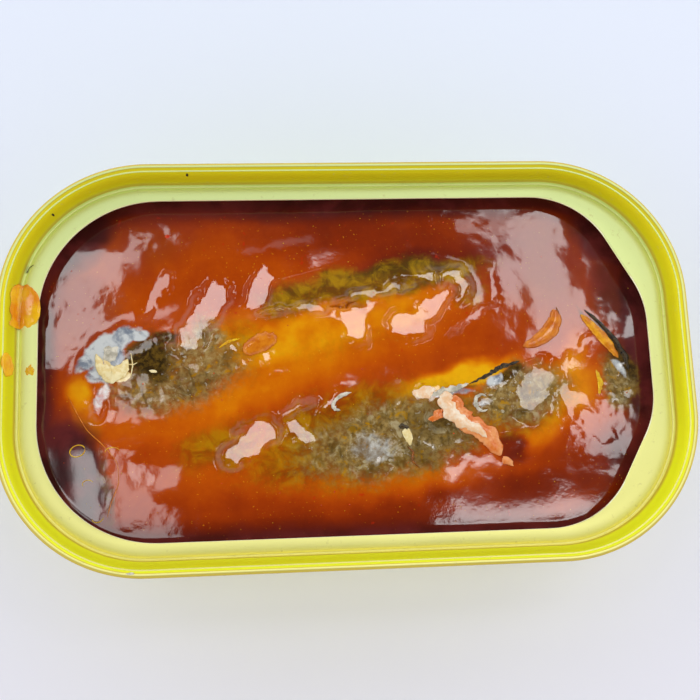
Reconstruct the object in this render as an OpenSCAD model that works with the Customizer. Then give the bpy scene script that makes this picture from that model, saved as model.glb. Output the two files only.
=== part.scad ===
// An opened sardine tin: a drawn metal can, the ring of its peel-off lid, and sardines in sauce.
// The frame is millimetres with +Z up, the origin at the middle of the base, and the length along X.

/* [Can] */
// Length over the seam
can_length = 105; // [85:1:130]
// Width over the seam
can_width = 62; // [52:1:80]
// Height from the base to the top of the seam
can_height = 28; // [24:0.5:40]
// Corner radius of the seam, seen from above
corner_radius = 22; // [16:0.5:25]
// Thickness of the drawn can's sheet
can_sheet = 0.25; // [0.2:0.01:0.4]
// Radius between the wall and the base
base_radius = 2.5; // [1.5:0.1:4]
// Width of the flat ring that the can stands on
foot_width = 1.4; // [1:0.1:3]
// Height of the raised panel inside the foot
panel_rise = 0.7; // [0.4:0.05:1.5]

/* [Lid ring] */
// Thickness of the lid's sheet
lid_sheet = 0.25; // [0.2:0.01:0.35]
// Width of the outer fold of the seam
seam_fold = 1; // [0.8:0.05:1.4]
// Height of the seam
seam_height = 2.8; // [2.2:0.1:3.4]
// Depth of the ledge below the top of the seam
ledge_depth = 3.5; // [3:0.1:4.5]
// Depth of the groove below the ledge
groove_depth = 0.45; // [0.3:0.05:0.8]
// Slope of the lid's wall, measured inwards over its whole height
wall_lean = 0.75; // [0.4:0.05:1.2]
// Width of the groove
groove_width = 0.9; // [0.7:0.05:1.4]
// Width of the ledge along the long sides
ledge_side = 1.75; // [1.2:0.05:3]
// Width of the ledge at the two ends
ledge_end = 2.3; // [1.4:0.05:3.5]
// How much tighter the opening's round corners are than the seam's
corner_step = 4; // [3:0.25:8]
// How far the opening's cut corners run along the pull end
corner_cut_width = 17; // [8:0.5:20]
// How far they run along the sides
corner_cut_length = 9.5; // [6:0.5:14]
// Rounding of the cut corners
cut_rounding = 14; // [5:0.5:15]

/* [Sauce] */
// Depth of the sauce below the top of the seam
sauce_depth = 6.6; // [5.5:0.1:9]
// How far the sauce climbs the sides of the sardines
sauce_climb = 0.6; // [0.3:0.1:1.4]
// How thick the sauce is where it climbs
sauce_coat = 0.8; // [0.5:0.1:1.6]

/* [Sardines] */
// Space left between the highest sardine and the top of the seam
head_room = 4.5; // [4.2:0.1:6]
// How far the back sardine stands above the sauce's level
back_rise = 1; // [0.4:0.1:1.6]
// Gap between the front sardine's head end and the wall
front_head_gap = 7.4; // [5:0.2:12]
// Gap between its tail end and the other wall
front_tail_gap = 16.4; // [8:0.2:30]
// Gap between the middle sardine's head end and the wall
middle_head_gap = 8.4; // [5:0.2:14]
// Gap between its tail end and the other wall
middle_tail_gap = 28.8; // [20:0.2:40]
// Gap between the back sardine's head end and the wall
back_head_gap = 9.2; // [8:0.2:16]
// Gap between its tail end and the other wall
back_tail_gap = 49.2; // [45:0.2:60]
// Gap kept beside two neighbouring sardines
fish_gap = 3; // [1.5:0.25:4]
// Gap kept beside the long walls
side_gap = 6; // [4:0.25:8]
// Stoutness of the front sardine beside the back one
front_stoutness = 1.35; // [1:0.05:1.4]
// Stoutness of the middle sardine beside the back one
middle_stoutness = 1.15; // [1:0.05:1.2]
// A sardine's height beside its width
flatness = 0.9; // [0.7:0.05:0.95]

/* [Hidden] */
$fn = 96;

ARC_STEPS = 6;       // straight steps in each small bend of the sheet
CORE_LAP = 1;        // how far a swept rim laps into its flat middle
HOOK_GAP = 0.1;      // space between the can's upper edge and the lid's fold
GROOVE_END = 290;    // where the groove's outer bend ends, in degrees
FISH_SIDES = 24;     // corners around a sardine
FISH_RINGS = 24;     // rings along a sardine
END_BLUNTNESS = 7;   // how square a sardine's two cut ends are: 2 is an ellipse
FULL_GIRTH = 0.6;    // share of the length, from the tail, at which a sardine is at its full girth
BOW = -0.8;          // how far a sardine bends sideways
TAIL_DROP = 1.6;     // how much lower the front and back sardines' tails lie
TAIL_LIFT = 0.5;     // how much higher the middle sardine's tail lies
MIDDLE_DROP = 0.1;   // how much lower the middle sardine's back lies than the front one's

// For the front, middle and back sardine: where its tail and its head lie across the can, as shares of the
// inner half width, and its tail's girth beside its full one.
ACROSS = [[-0.55, -0.08], [0.42, -0.07], [0.69, 0.62]];
TAIL_GIRTH = [0.6, 0.82, 0.6];

// Insets are measured inwards from the seam's outer face, and heights from the base.
wall_out = seam_fold;
wall_in = wall_out + can_sheet;
foot_in = wall_out + base_radius + foot_width;
panel_in = foot_in + panel_rise;
seam_round = seam_fold / 2;
wall_foot = wall_in + lid_sheet + wall_lean;
ledge_out = wall_foot + groove_width;
ledge_top = can_height - ledge_depth;
groove_bottom = ledge_top - groove_depth;
can_top = can_height - lid_sheet - HOOK_GAP;
sauce_level = can_height - sauce_depth;
fish_top = can_height - head_room;

// The inside of the can, and the opening that the peeled panel leaves.
in_x = can_length / 2 - wall_in;
in_y = can_width / 2 - wall_in;
open_x = can_length / 2 - ledge_out - ledge_end;
open_y = can_width / 2 - ledge_out - ledge_side;
opening_radius = corner_radius - corner_step;

// Three sardines share the inner width that the gaps leave.
side_room = 2 * in_y - 2 * side_gap - 2 * fish_gap;
back_width = side_room / (1 + middle_stoutness + front_stoutness);
middle_width = back_width * middle_stoutness;
front_width = back_width * front_stoutness;
front_z = fish_top - front_width * flatness / 2;
middle_z = fish_top - middle_width * flatness / 2 - MIDDLE_DROP;
back_z = sauce_level + back_rise - back_width * flatness / 2;

function arc(cx, cz, r, from, to) = [
    for (i = [0:ARC_STEPS]) let (a = from + (to - from) * i / ARC_STEPS)
        [cx + r * cos(a), cz + r * sin(a)]];

// The can's skin as a rim profile, from the top of the wall to the panel. skin is 0 for the outer face and
// the sheet's thickness for the inner one.
function can_profile(skin, top) = concat(
    [[wall_out + skin, top]],
    arc(wall_out + base_radius, base_radius, base_radius - skin, 180, 270),
    [[foot_in - skin / 2, skin], [panel_in - skin / 2, panel_rise + skin],
     [panel_in + CORE_LAP, panel_rise + skin], [panel_in + CORE_LAP, top]]);

// Sweeps a profile of [inset, height] round the can's plan.
module round_the_can() {
    for (side = [0, 1]) {
        mirror([side, 0, 0])
            translate([can_length / 2, 0, 0]) mirror([1, 0, 0]) rotate([90, 0, 0])
                linear_extrude(can_width - 2 * corner_radius, center = true) children();
        mirror([0, side, 0])
            translate([0, can_width / 2, 0]) rotate([0, 0, -90]) rotate([90, 0, 0])
                linear_extrude(can_length - 2 * corner_radius, center = true) children();
    }
    for (x = [0, 1], y = [0, 1])
        mirror([x, 0, 0]) mirror([0, y, 0])
            translate([can_length / 2 - corner_radius, can_width / 2 - corner_radius, 0])
                rotate_extrude(angle = 90)
                    translate([corner_radius, 0]) mirror([1, 0]) children();
}

// The can's plan, shrunk by an inset.
module plan(inset) {
    r = corner_radius - inset;
    for (x = [-1, 1], y = [-1, 1])
        translate([x * (can_length / 2 - corner_radius), y * (can_width / 2 - corner_radius)]) circle(r);
    square([can_length - 2 * corner_radius, can_width - 2 * inset], center = true);
    square([can_length - 2 * inset, can_width - 2 * corner_radius], center = true);
}

// A solid with the can's rim profile and a flat underside within it.
module pan(skin, top) {
    round_the_can() polygon(can_profile(skin, top));
    translate([0, 0, panel_rise + skin])
        linear_extrude(top - panel_rise - skin) plan(panel_in + CORE_LAP / 2);
}

module can() {
    color("gold") difference() {
        pan(0, can_top);
        pan(can_sheet, can_top + 1);
    }
}

// A convex outline given as [x, y, radius] corners in order, with each corner rounded by a true arc.
function unit(v) = v / norm(v);
function corner_arc(before, at, after) =
    let (p = [at.x, at.y], u = unit([before.x, before.y] - p), w = unit([after.x, after.y] - p),
         half = acos(u * w) / 2, reach = at.z / tan(half))
    [p + u * reach, p + w * reach, p + unit(u + w) * at.z / sin(half), at.z];
module rounded(corners) {
    n = len(corners);
    arcs = [for (i = [0:n - 1]) corner_arc(corners[(i + n - 1) % n], corners[i], corners[(i + 1) % n])];
    polygon([for (a = arcs) each [a[0], a[1]]]);
    for (a = arcs) translate(a[2]) circle(a[3]);
}

// The opening: round corners at the plain end, and cut corners at the pull end.
module opening() {
    rounded([
        [-open_x, -open_y, opening_radius],
        [open_x - corner_cut_length, -open_y, cut_rounding],
        [open_x, -open_y + corner_cut_width, cut_rounding],
        [open_x, open_y - corner_cut_width, cut_rounding],
        [open_x - corner_cut_length, open_y, cut_rounding],
        [-open_x, open_y, opening_radius]]);
}

// The lid ring's bent sheet: the seam's outer fold, the leaning wall and the groove.
module lid_profile() {
    fold_foot = can_height - seam_height;
    hook_in = wall_in + lid_sheet;
    groove_x = wall_foot + groove_width / 2;
    groove_z = groove_bottom + groove_width / 2;
    polygon(concat(
        [[seam_fold, fold_foot]],
        arc(seam_round / 2, fold_foot + seam_round / 2, seam_round / 2, 270, 180),
        arc(seam_round, can_height - seam_round, seam_round, 180, 90),
        arc(hook_in - seam_round / 2, can_height - seam_round / 2, seam_round / 2, 90, 0),
        arc(groove_x, groove_z, groove_width / 2, 180, 270),
        [[ledge_out, ledge_top], [ledge_out + CORE_LAP, ledge_top],
         [ledge_out + CORE_LAP, ledge_top - lid_sheet], [ledge_out + lid_sheet / 2, ledge_top - lid_sheet]],
        arc(groove_x, groove_z, groove_width / 2 + lid_sheet, GROOVE_END, 180),
        [[wall_in, can_top], [seam_fold, can_top]]));
}

module lid_ring() {
    color("khaki") {
        round_the_can() lid_profile();
        translate([0, 0, ledge_top - lid_sheet]) linear_extrude(lid_sheet) difference() {
            plan(ledge_out + CORE_LAP / 2);
            opening();
        }
    }
}

// A sardine is [tail end, head end, bow, width, tail girth]. Its surface is oval rings along a bowed middle
// line, pinched in at the two cut ends. The ends keep their gaps from the end walls.
function front() = [
    [-in_x + front_tail_gap, in_y * ACROSS[0][0], front_z - TAIL_DROP],
    [in_x - front_head_gap, in_y * ACROSS[0][1], front_z],
    BOW, front_width, TAIL_GIRTH[0]];
function middle() = [
    [in_x - middle_tail_gap, in_y * ACROSS[1][0], middle_z + TAIL_LIFT],
    [-in_x + middle_head_gap, in_y * ACROSS[1][1], middle_z],
    BOW, middle_width, TAIL_GIRTH[1]];
function back() = [
    [in_x - back_tail_gap, in_y * ACROSS[2][0], back_z - TAIL_DROP],
    [-in_x + back_head_gap, in_y * ACROSS[2][1], back_z],
    0, back_width, TAIL_GIRTH[2]];

function fish_share(t) = (1 - cos(180 * t)) / 2;
function fish_girth(f, s) =
    pow(1 - pow(abs(2 * s - 1), END_BLUNTNESS), 1 / 2)
    * (f[4] + (1 - f[4]) * sin(90 * min(1, s / FULL_GIRTH)));
function fish_side(f) = let (along = unit([f[1].x - f[0].x, f[1].y - f[0].y])) [-along.y, along.x, 0];
function fish_centre(f, s) = f[0] + (f[1] - f[0]) * s + f[2] * sin(180 * s) * fish_side(f);
function fish_ring(f, s, coat) =
    let (half = f[3] / 2 * fish_girth(f, s) + coat)
    [for (k = [0:FISH_SIDES - 1]) let (q = 360 * k / FISH_SIDES)
        fish_centre(f, s) + half * cos(q) * fish_side(f) + [0, 0, half * flatness * sin(q)]];
module fish(f, coat = 0) {
    n = FISH_SIDES;
    rings = [for (i = [1:FISH_RINGS - 1]) fish_ring(f, fish_share(i / FISH_RINGS), coat)];
    last = len(rings) - 1;
    reach = coat * unit(f[1] - f[0]);
    points = concat([f[0] - reach], [for (r = rings) each r], [f[1] + reach]);
    faces = concat(
        [for (k = [0:n - 1]) [0, 1 + k, 1 + (k + 1) % n]],
        [for (i = [0:last - 1], k = [0:n - 1]) each let (a = 1 + i * n, b = a + n, m = (k + 1) % n)
            [[a + k, b + k, b + m], [a + k, b + m, a + m]]],
        [for (k = [0:n - 1]) [len(points) - 1, 1 + last * n + (k + 1) % n, 1 + last * n + k]]);
    polyhedron(points, faces);
}

module sardine_front() color("darkkhaki") fish(front());
module sardine_middle() color("darkgoldenrod") fish(middle());
module sardine_back() color("peru") fish(back());

// The sauce fills the can to its level and climbs the sides of the sardines.
module all_fish(coat = 0) {
    fish(front(), coat);
    fish(middle(), coat);
    fish(back(), coat);
}
module sauce() {
    climb_from = sauce_level - sauce_climb;
    color("orangered") difference() {
        union() {
            pan(can_sheet, sauce_level);
            intersection() {
                all_fish(sauce_coat);
                translate([0, 0, climb_from]) linear_extrude(2 * sauce_climb) plan(panel_in);
            }
        }
        all_fish();
    }
}

can();
lid_ring();
sauce();
sardine_front();
sardine_middle();
sardine_back();
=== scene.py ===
"""The looks of an opened sardine tin: a lacquered can, the ring of its lid, and sardines in tomato sauce.

The frame is that of the construction model: +Z up, the origin at the middle of the base, and +X along the
length, towards the end where the lid's tab was. Sizes in the classes are millimetres, and MM turns them into
metres as the meshes are made.
"""

import logging
import math
import random
from dataclasses import dataclass, field
from enum import Enum
from typing import Callable, Sequence

import bmesh
import bpy
import numpy as np
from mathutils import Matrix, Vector, noise


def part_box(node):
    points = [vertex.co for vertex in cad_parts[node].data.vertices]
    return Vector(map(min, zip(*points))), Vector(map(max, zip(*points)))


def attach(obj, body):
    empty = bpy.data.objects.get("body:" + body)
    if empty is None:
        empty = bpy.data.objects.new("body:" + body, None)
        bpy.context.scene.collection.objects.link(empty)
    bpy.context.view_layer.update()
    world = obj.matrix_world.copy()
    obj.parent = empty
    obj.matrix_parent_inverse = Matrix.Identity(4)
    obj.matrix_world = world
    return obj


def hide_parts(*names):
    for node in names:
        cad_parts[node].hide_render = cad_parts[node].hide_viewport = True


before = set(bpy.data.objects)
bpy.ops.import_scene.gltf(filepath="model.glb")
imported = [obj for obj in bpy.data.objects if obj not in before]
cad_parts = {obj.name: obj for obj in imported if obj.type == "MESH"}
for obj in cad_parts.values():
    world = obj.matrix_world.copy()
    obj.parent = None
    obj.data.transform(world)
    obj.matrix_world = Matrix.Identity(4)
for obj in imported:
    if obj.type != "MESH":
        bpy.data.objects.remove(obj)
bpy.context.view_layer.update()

LOG = logging.getLogger("sardine_tin")
MM = 0.001
# Places closer than this, in millimetres, count as the same.
NEAR = 0.001
Point = tuple[float, float]
Colour = tuple[float, float, float]


# ---------------------------------------------------------------- small tools


def deselect_all() -> None:
    """Leaves edit mode and drops every selection."""
    if bpy.context.object and bpy.context.object.mode != "OBJECT":
        bpy.ops.object.mode_set(mode="OBJECT")
    bpy.ops.object.select_all(action="DESELECT")


def make_active(piece: bpy.types.Object) -> None:
    """Selects one object alone and makes it the active one.

    Args:
        piece: The object.
    """
    deselect_all()
    piece.select_set(True)
    bpy.context.view_layer.objects.active = piece


def settle(piece: bpy.types.Object, name: str) -> bpy.types.Object:
    """Applies the object's place, turn and scale to its mesh, and names it.

    Args:
        piece: The object to settle.
        name: The name for the object and its mesh.

    Returns:
        The same object, now at the origin.
    """
    make_active(piece)
    bpy.ops.object.transform_apply(location=True, rotation=True, scale=True)
    piece.name = name
    piece.data.name = name
    return piece


def outwards(piece: bpy.types.Object, merge: float = 0.0) -> None:
    """Merges doubles, if asked, and points every face outwards.

    Args:
        piece: The mesh object.
        merge: Distance in metres within which vertices become one.
    """
    make_active(piece)
    bpy.ops.object.mode_set(mode="EDIT")
    bpy.ops.mesh.select_all(action="SELECT")
    if merge:
        bpy.ops.mesh.remove_doubles(threshold=merge)
    bpy.ops.mesh.normals_make_consistent(inside=False)
    bpy.ops.object.mode_set(mode="OBJECT")


def complete(piece: bpy.types.Object, name: str, finish: bpy.types.Material,
             degrees: float = 180.0) -> bpy.types.Object:
    """Shades a piece smooth, gives it its finish and its name, and settles it.

    Args:
        piece: The object.
        name: The name for the object and its mesh.
        finish: Its material.
        degrees: Edges sharper than this stay sharp.

    Returns:
        The finished piece.
    """
    make_active(piece)
    bpy.ops.object.shade_smooth_by_angle(angle=math.radians(degrees))
    piece.data.materials.append(finish)
    return settle(piece, name)


def coords(piece: bpy.types.Object) -> np.ndarray:
    """The vertices of a mesh.

    Args:
        piece: The mesh object.

    Returns:
        Their places in millimetres, one row each.
    """
    flat = np.empty(len(piece.data.vertices) * 3)
    piece.data.vertices.foreach_get("co", flat)
    return flat.reshape(-1, 3) / MM


def set_coords(piece: bpy.types.Object, places: np.ndarray) -> None:
    """Puts the vertices of a mesh at places given in millimetres."""
    piece.data.vertices.foreach_set("co", (places * MM).ravel())
    piece.data.update()


def set_field(piece: bpy.types.Object, name: str, values: np.ndarray) -> None:
    """Stores one number for each vertex, for the materials to read.

    Args:
        piece: The mesh object.
        name: The name under which a material reads the numbers.
        values: One number for each vertex.
    """
    layer = piece.data.attributes.new(name, "FLOAT", "POINT")
    layer.data.foreach_set("value", np.ascontiguousarray(values, dtype=np.float32))


def smoothstep(low: float, high: float, values: np.ndarray) -> np.ndarray:
    """The usual soft step from 0 at low to 1 at high."""
    t = np.clip((values - low) / (high - low), 0.0, 1.0)
    return t * t * (3.0 - 2.0 * t)


def ripple(x: np.ndarray, y: np.ndarray, size: float, seed: float, octaves: int = 3) -> np.ndarray:
    """Smooth noise between about -1 and 1 over the plan.

    Args:
        x: Places along the length, in millimetres.
        y: Places across, in millimetres.
        size: Size of the largest features, in millimetres.
        seed: Picks the stretch of noise.
        octaves: How many finer layers are added.

    Returns:
        One value for each place.
    """
    return np.array([
        noise.fractal((px / size, py / size, seed), 1.0, 2.0, octaves)
        for px, py in zip(x.tolist(), y.tolist())
    ])


# ---------------------------------------------------------------- plan of the tin


@dataclass(frozen=True)
class TinPlan:
    """The tin seen from above: a rounded rectangle, measured inwards from the seam's outer face."""

    half_length: float
    half_width: float
    corner: float = 22.0

    def outward(self, x: float, y: float) -> Point:
        """The direction straight out of the tin at a place.

        Args:
            x: The place along the length, in millimetres.
            y: The place across.

        Returns:
            The direction in plan, with a length of 1.
        """
        dx = abs(x) - (self.half_length - self.corner)
        dy = abs(y) - (self.half_width - self.corner)
        if dx > NEAR and dy > NEAR:
            far = math.hypot(dx, dy)
            return math.copysign(dx / far, x), math.copysign(dy / far, y)
        if self.half_length - abs(x) < self.half_width - abs(y):
            return math.copysign(1.0, x), 0.0
        return 0.0, math.copysign(1.0, y)

    def inset(self, x: np.ndarray, y: np.ndarray) -> np.ndarray:
        """How far places lie inside the seam's outer face.

        Args:
            x: Places along the length, in millimetres.
            y: Places across.

        Returns:
            The distances in millimetres.
        """
        dx = np.abs(x) - (self.half_length - self.corner)
        dy = np.abs(y) - (self.half_width - self.corner)
        straight = np.minimum(self.corner - dx, self.corner - dy)
        return np.where((dx > 0) & (dy > 0), self.corner - np.hypot(dx, dy), straight)


# The seam's outer top corner, which fixes the plan and the height of the rim.
HIGH = Vector(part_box("lid_ring")[1]) / MM
PLAN = TinPlan(half_length=HIGH.x, half_width=HIGH.y)
RIM_TOP = HIGH.z
# Where the camera stands, and how high the windows hang over the floor.
EYE_ABOVE_RIM = 150.0
EYE = Vector((-13.08, -26.11, EYE_ABOVE_RIM + RIM_TOP))
WINDOW_HEIGHT = 500.0


def pull_in(vertex: bmesh.types.BMVert, distance: float) -> None:
    """Moves a vertex straight inwards over the plan, by a distance in millimetres."""
    out = PLAN.outward(vertex.co.x / MM, vertex.co.y / MM)
    vertex.co -= Vector((out[0], out[1], 0.0)) * distance * MM


def plan_key(place: Vector) -> tuple[float, float]:
    """A place in plan, in metres, rounded so that it can be looked up."""
    return round(place.x, 7), round(place.y, 7)


def turned(u: np.ndarray | float, v: np.ndarray | float, degrees: float) -> tuple:
    """Turns places in plan about the origin, and gives their new x and y."""
    c, s = math.cos(math.radians(degrees)), math.sin(math.radians(degrees))
    return u * c - v * s, u * s + v * c


def bend(cx: float, cz: float, radius: float, start: float, end: float, steps: int = 6) -> list[Point]:
    """Gives points along an arc of a profile.

    Args:
        cx: Inset of the arc's centre.
        cz: Height of the arc's centre.
        radius: Radius of the arc.
        start: Angle of the first point in degrees, with 0 inwards and 90 up.
        end: Angle of the last point.
        steps: Number of straight steps.

    Returns:
        The points as (inset, height).
    """
    turns = (math.radians(start + (end - start) * i / steps) for i in range(steps + 1))
    return [(cx + radius * math.cos(a), cz + radius * math.sin(a)) for a in turns]


def sweep(profile: Sequence[Point], corner_steps: int, side_cuts: int) -> bpy.types.Object:
    """Draws a profile round the tin's plan, by extruding the outline one profile point at a time.

    Args:
        profile: Points as (inset, height), in millimetres.
        corner_steps: Straight steps round each corner.
        side_cuts: Cuts along each straight side.

    Returns:
        The swept sheet, open at both ends.
    """
    deselect_all()
    inset, height = profile[0]
    bpy.ops.mesh.primitive_plane_add(size=1.0, location=(0, 0, 0))
    rim = bpy.context.object
    bpy.ops.object.mode_set(mode="EDIT")
    bpy.ops.transform.resize(value=(2 * PLAN.half_length * MM, 2 * PLAN.half_width * MM, 1.0))
    bpy.ops.mesh.bevel(offset=PLAN.corner * MM, affect="VERTICES", segments=corner_steps, profile=0.5)
    bpy.ops.mesh.select_all(action="DESELECT")
    mesh = bmesh.from_edit_mesh(rim.data)
    for edge in mesh.edges:
        edge.select_set(edge.calc_length() > PLAN.corner * MM / 2)
    bpy.ops.mesh.subdivide(number_cuts=side_cuts)
    bpy.ops.mesh.select_all(action="SELECT")
    bpy.ops.mesh.delete(type="ONLY_FACE")
    mesh = bmesh.from_edit_mesh(rim.data)
    for vertex in mesh.verts:
        pull_in(vertex, inset)
        vertex.co.z = height * MM
    bpy.ops.mesh.select_all(action="SELECT")
    for next_inset, next_height in profile[1:]:
        bpy.ops.mesh.extrude_region_move()
        mesh = bmesh.from_edit_mesh(rim.data)
        for vertex in mesh.verts:
            if vertex.select:
                pull_in(vertex, next_inset - inset)
                vertex.co.z = next_height * MM
        inset = next_inset
    bmesh.update_edit_mesh(rim.data)
    bpy.ops.object.mode_set(mode="OBJECT")
    return rim


def select_ring(piece: bpy.types.Object, test: Callable[[Vector], bool]) -> None:
    """In edit mode, selects the open edges whose ends both pass a test.

    Args:
        piece: The mesh object.
        test: Says whether a place in millimetres passes.
    """
    bpy.ops.mesh.select_mode(type="EDGE")
    bpy.ops.mesh.select_all(action="DESELECT")
    mesh = bmesh.from_edit_mesh(piece.data)
    for edge in mesh.edges:
        if len(edge.link_faces) <= 1 and all(test(v.co / MM) for v in edge.verts):
            edge.select_set(True)
    bmesh.update_edit_mesh(piece.data)


# ---------------------------------------------------------------- shader parts


class Slot(Enum):
    """The material slots."""

    CAN = "can_metal"
    LID = "lid_metal"
    SAUCE = "sauce"
    FISH = "sardine"
    SCRAPS = "scraps"


def socket(tree: bpy.types.NodeTree, name: str, kind: str, into: bool, value: object = None) -> None:
    """Adds a named socket to a node group.

    Args:
        tree: The group.
        name: The socket's name.
        kind: Float, Color or Vector.
        into: True for an input.
        value: Default of an input.
    """
    side = "INPUT" if into else "OUTPUT"
    made = tree.interface.new_socket(name=name, in_out=side, socket_type="NodeSocket" + kind)
    if value is not None:
        made.default_value = value


@dataclass
class Graph:
    """A thin helper that adds and joins nodes in one tree."""

    tree: bpy.types.NodeTree

    def add(self, kind: str, inputs: dict[str | int, object] | None = None,
            **settings: object) -> bpy.types.Node:
        """Adds a node, sets its properties, and links or sets its inputs.

        Args:
            kind: The node's type after "ShaderNode", or a full type name.
            inputs: Socket names or numbers with a value or an output socket.
            **settings: Properties of the node.

        Returns:
            The new node.
        """
        full = kind if kind.startswith("NodeGroup") else "ShaderNode" + kind
        node = self.tree.nodes.new(full)
        for key, value in settings.items():
            setattr(node, key, value)
        for key, value in (inputs or {}).items():
            self.put(node.inputs[key], value)
        return node

    def put(self, target: bpy.types.NodeSocket, value: object) -> None:
        """Links an output to a socket, or sets the socket's value.

        Args:
            target: The input socket.
            value: An output socket, or the value to set.
        """
        if isinstance(value, bpy.types.NodeSocket):
            self.tree.links.new(value, target)
        elif isinstance(value, tuple) and len(value) == 3 and target.type == "RGBA":
            target.default_value = (*value, 1.0)
        else:
            target.default_value = value

    def math(self, operation: str, *values: object, clamp: bool = False) -> bpy.types.NodeSocket:
        """A Math node's output."""
        node = self.add("Math", dict(enumerate(values)), operation=operation, use_clamp=clamp)
        return node.outputs[0]

    def mix(self, share: object, first: object, second: object) -> bpy.types.NodeSocket:
        """Mixes two colours.

        Args:
            share: How much of the second colour shows.
            first: The first colour.
            second: The second colour.

        Returns:
            The mixed colour's socket.
        """
        node = self.add("Mix", data_type="RGBA", blend_type="MIX")
        for index, value in ((0, share), (6, first), (7, second)):
            self.put(node.inputs[index], value)
        return node.outputs[2]

    def range(self, value: object, low: float, high: float, to_low: float = 0.0,
              to_high: float = 1.0) -> bpy.types.NodeSocket:
        """Moves a value from one range to another, and holds it there.

        Args:
            value: The value.
            low: The value that becomes to_low.
            high: The value that becomes to_high.
            to_low: The result at low.
            to_high: The result at high.

        Returns:
            The result's socket, with a soft start and end.
        """
        node = self.add("MapRange", {"Value": value, "From Min": low, "From Max": high,
                                     "To Min": to_low, "To Max": to_high},
                        interpolation_type="SMOOTHSTEP")
        return node.outputs[0]

    def noise(self, vector: object, size: float, detail: float = 3.0, rough: float = 0.5,
              twist: float = 0.0) -> bpy.types.NodeSocket:
        """Makes noise.

        Args:
            vector: The place.
            size: The size of its features in millimetres.
            detail: How many finer layers are added.
            rough: How strong the finer layers are.
            twist: How much the pattern is bent.

        Returns:
            The noise's socket, around 0.5.
        """
        node = self.add("TexNoise", {"Vector": vector, "Scale": 1.0 / (size * MM), "Detail": detail,
                                     "Roughness": rough, "Distortion": twist})
        return node.outputs[0]

    def field(self, name: str) -> bpy.types.NodeSocket:
        """A number stored on the mesh."""
        return self.add("Attribute", attribute_name=name).outputs["Fac"]

    def ramp(self, value: object, stops: Sequence[tuple[float, Colour]]) -> bpy.types.NodeSocket:
        """Makes a colour ramp.

        Args:
            value: The place on the ramp.
            stops: Places with their colours, in order.

        Returns:
            The colour's socket.
        """
        node = self.add("ValToRGB", {"Fac": value})
        steps = node.color_ramp.elements
        while len(steps) < len(stops):
            steps.new(0.5)
        for step, (place, colour) in zip(steps, stops):
            step.position = place
            step.color = (*colour, 1.0)
        return node.outputs[0]


def lin(red: int, green: int, blue: int) -> Colour:
    """A display colour, from 0 to 255, as linear light."""
    parts = (c / 255.0 for c in (red, green, blue))
    return tuple(c / 12.92 if c <= 0.04045 else ((c + 0.055) / 1.055) ** 2.4 for c in parts)


def group(name: str, inputs: dict[str, tuple[str, object]], outputs: dict[str, str]) -> tuple[Graph, dict]:
    """Starts a shader node group.

    Args:
        name: Name of the group.
        inputs: Socket names with their kind and default.
        outputs: Socket names with their kind.

    Returns:
        A graph of the group, and its ends: "in" maps input names to sockets, "out" output names to sockets.
    """
    tree = bpy.data.node_groups.new(name, "ShaderNodeTree")
    for key, (kind, value) in inputs.items():
        socket(tree, key, kind, True, value)
    for key, kind in outputs.items():
        socket(tree, key, kind, False)
    graph = Graph(tree)
    start = graph.add("NodeGroupInput")
    end = graph.add("NodeGroupOutput")
    return graph, {"in": {k: start.outputs[k] for k in inputs}, "out": {k: end.inputs[k] for k in outputs}}


def use_group(graph: Graph, name: str, inputs: dict[str, object]) -> bpy.types.Node:
    """Places a finished group in a material.

    Args:
        graph: The material's graph.
        name: The group's name.
        inputs: Input names with their values or sockets.

    Returns:
        The group's node.
    """
    node = graph.tree.nodes.new("ShaderNodeGroup")
    node.node_tree = bpy.data.node_groups[name]
    for key, value in inputs.items():
        graph.put(node.inputs[key], value)
    return node


def new_material(name: str) -> tuple[bpy.types.Material, Graph, bpy.types.Node, bpy.types.NodeSocket]:
    """A material with a Principled shader.

    Args:
        name: Name of the material.

    Returns:
        The material, its graph, its shader node, and its Object coordinates.
    """
    made = bpy.data.materials.new(name)
    made.use_nodes = True
    made.node_tree.nodes.clear()
    graph = Graph(made.node_tree)
    shader = graph.add("BsdfPrincipled")
    graph.add("OutputMaterial", {"Surface": shader.outputs[0]})
    place = graph.add("TexCoord").outputs["Object"]
    return made, graph, shader, place


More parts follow.
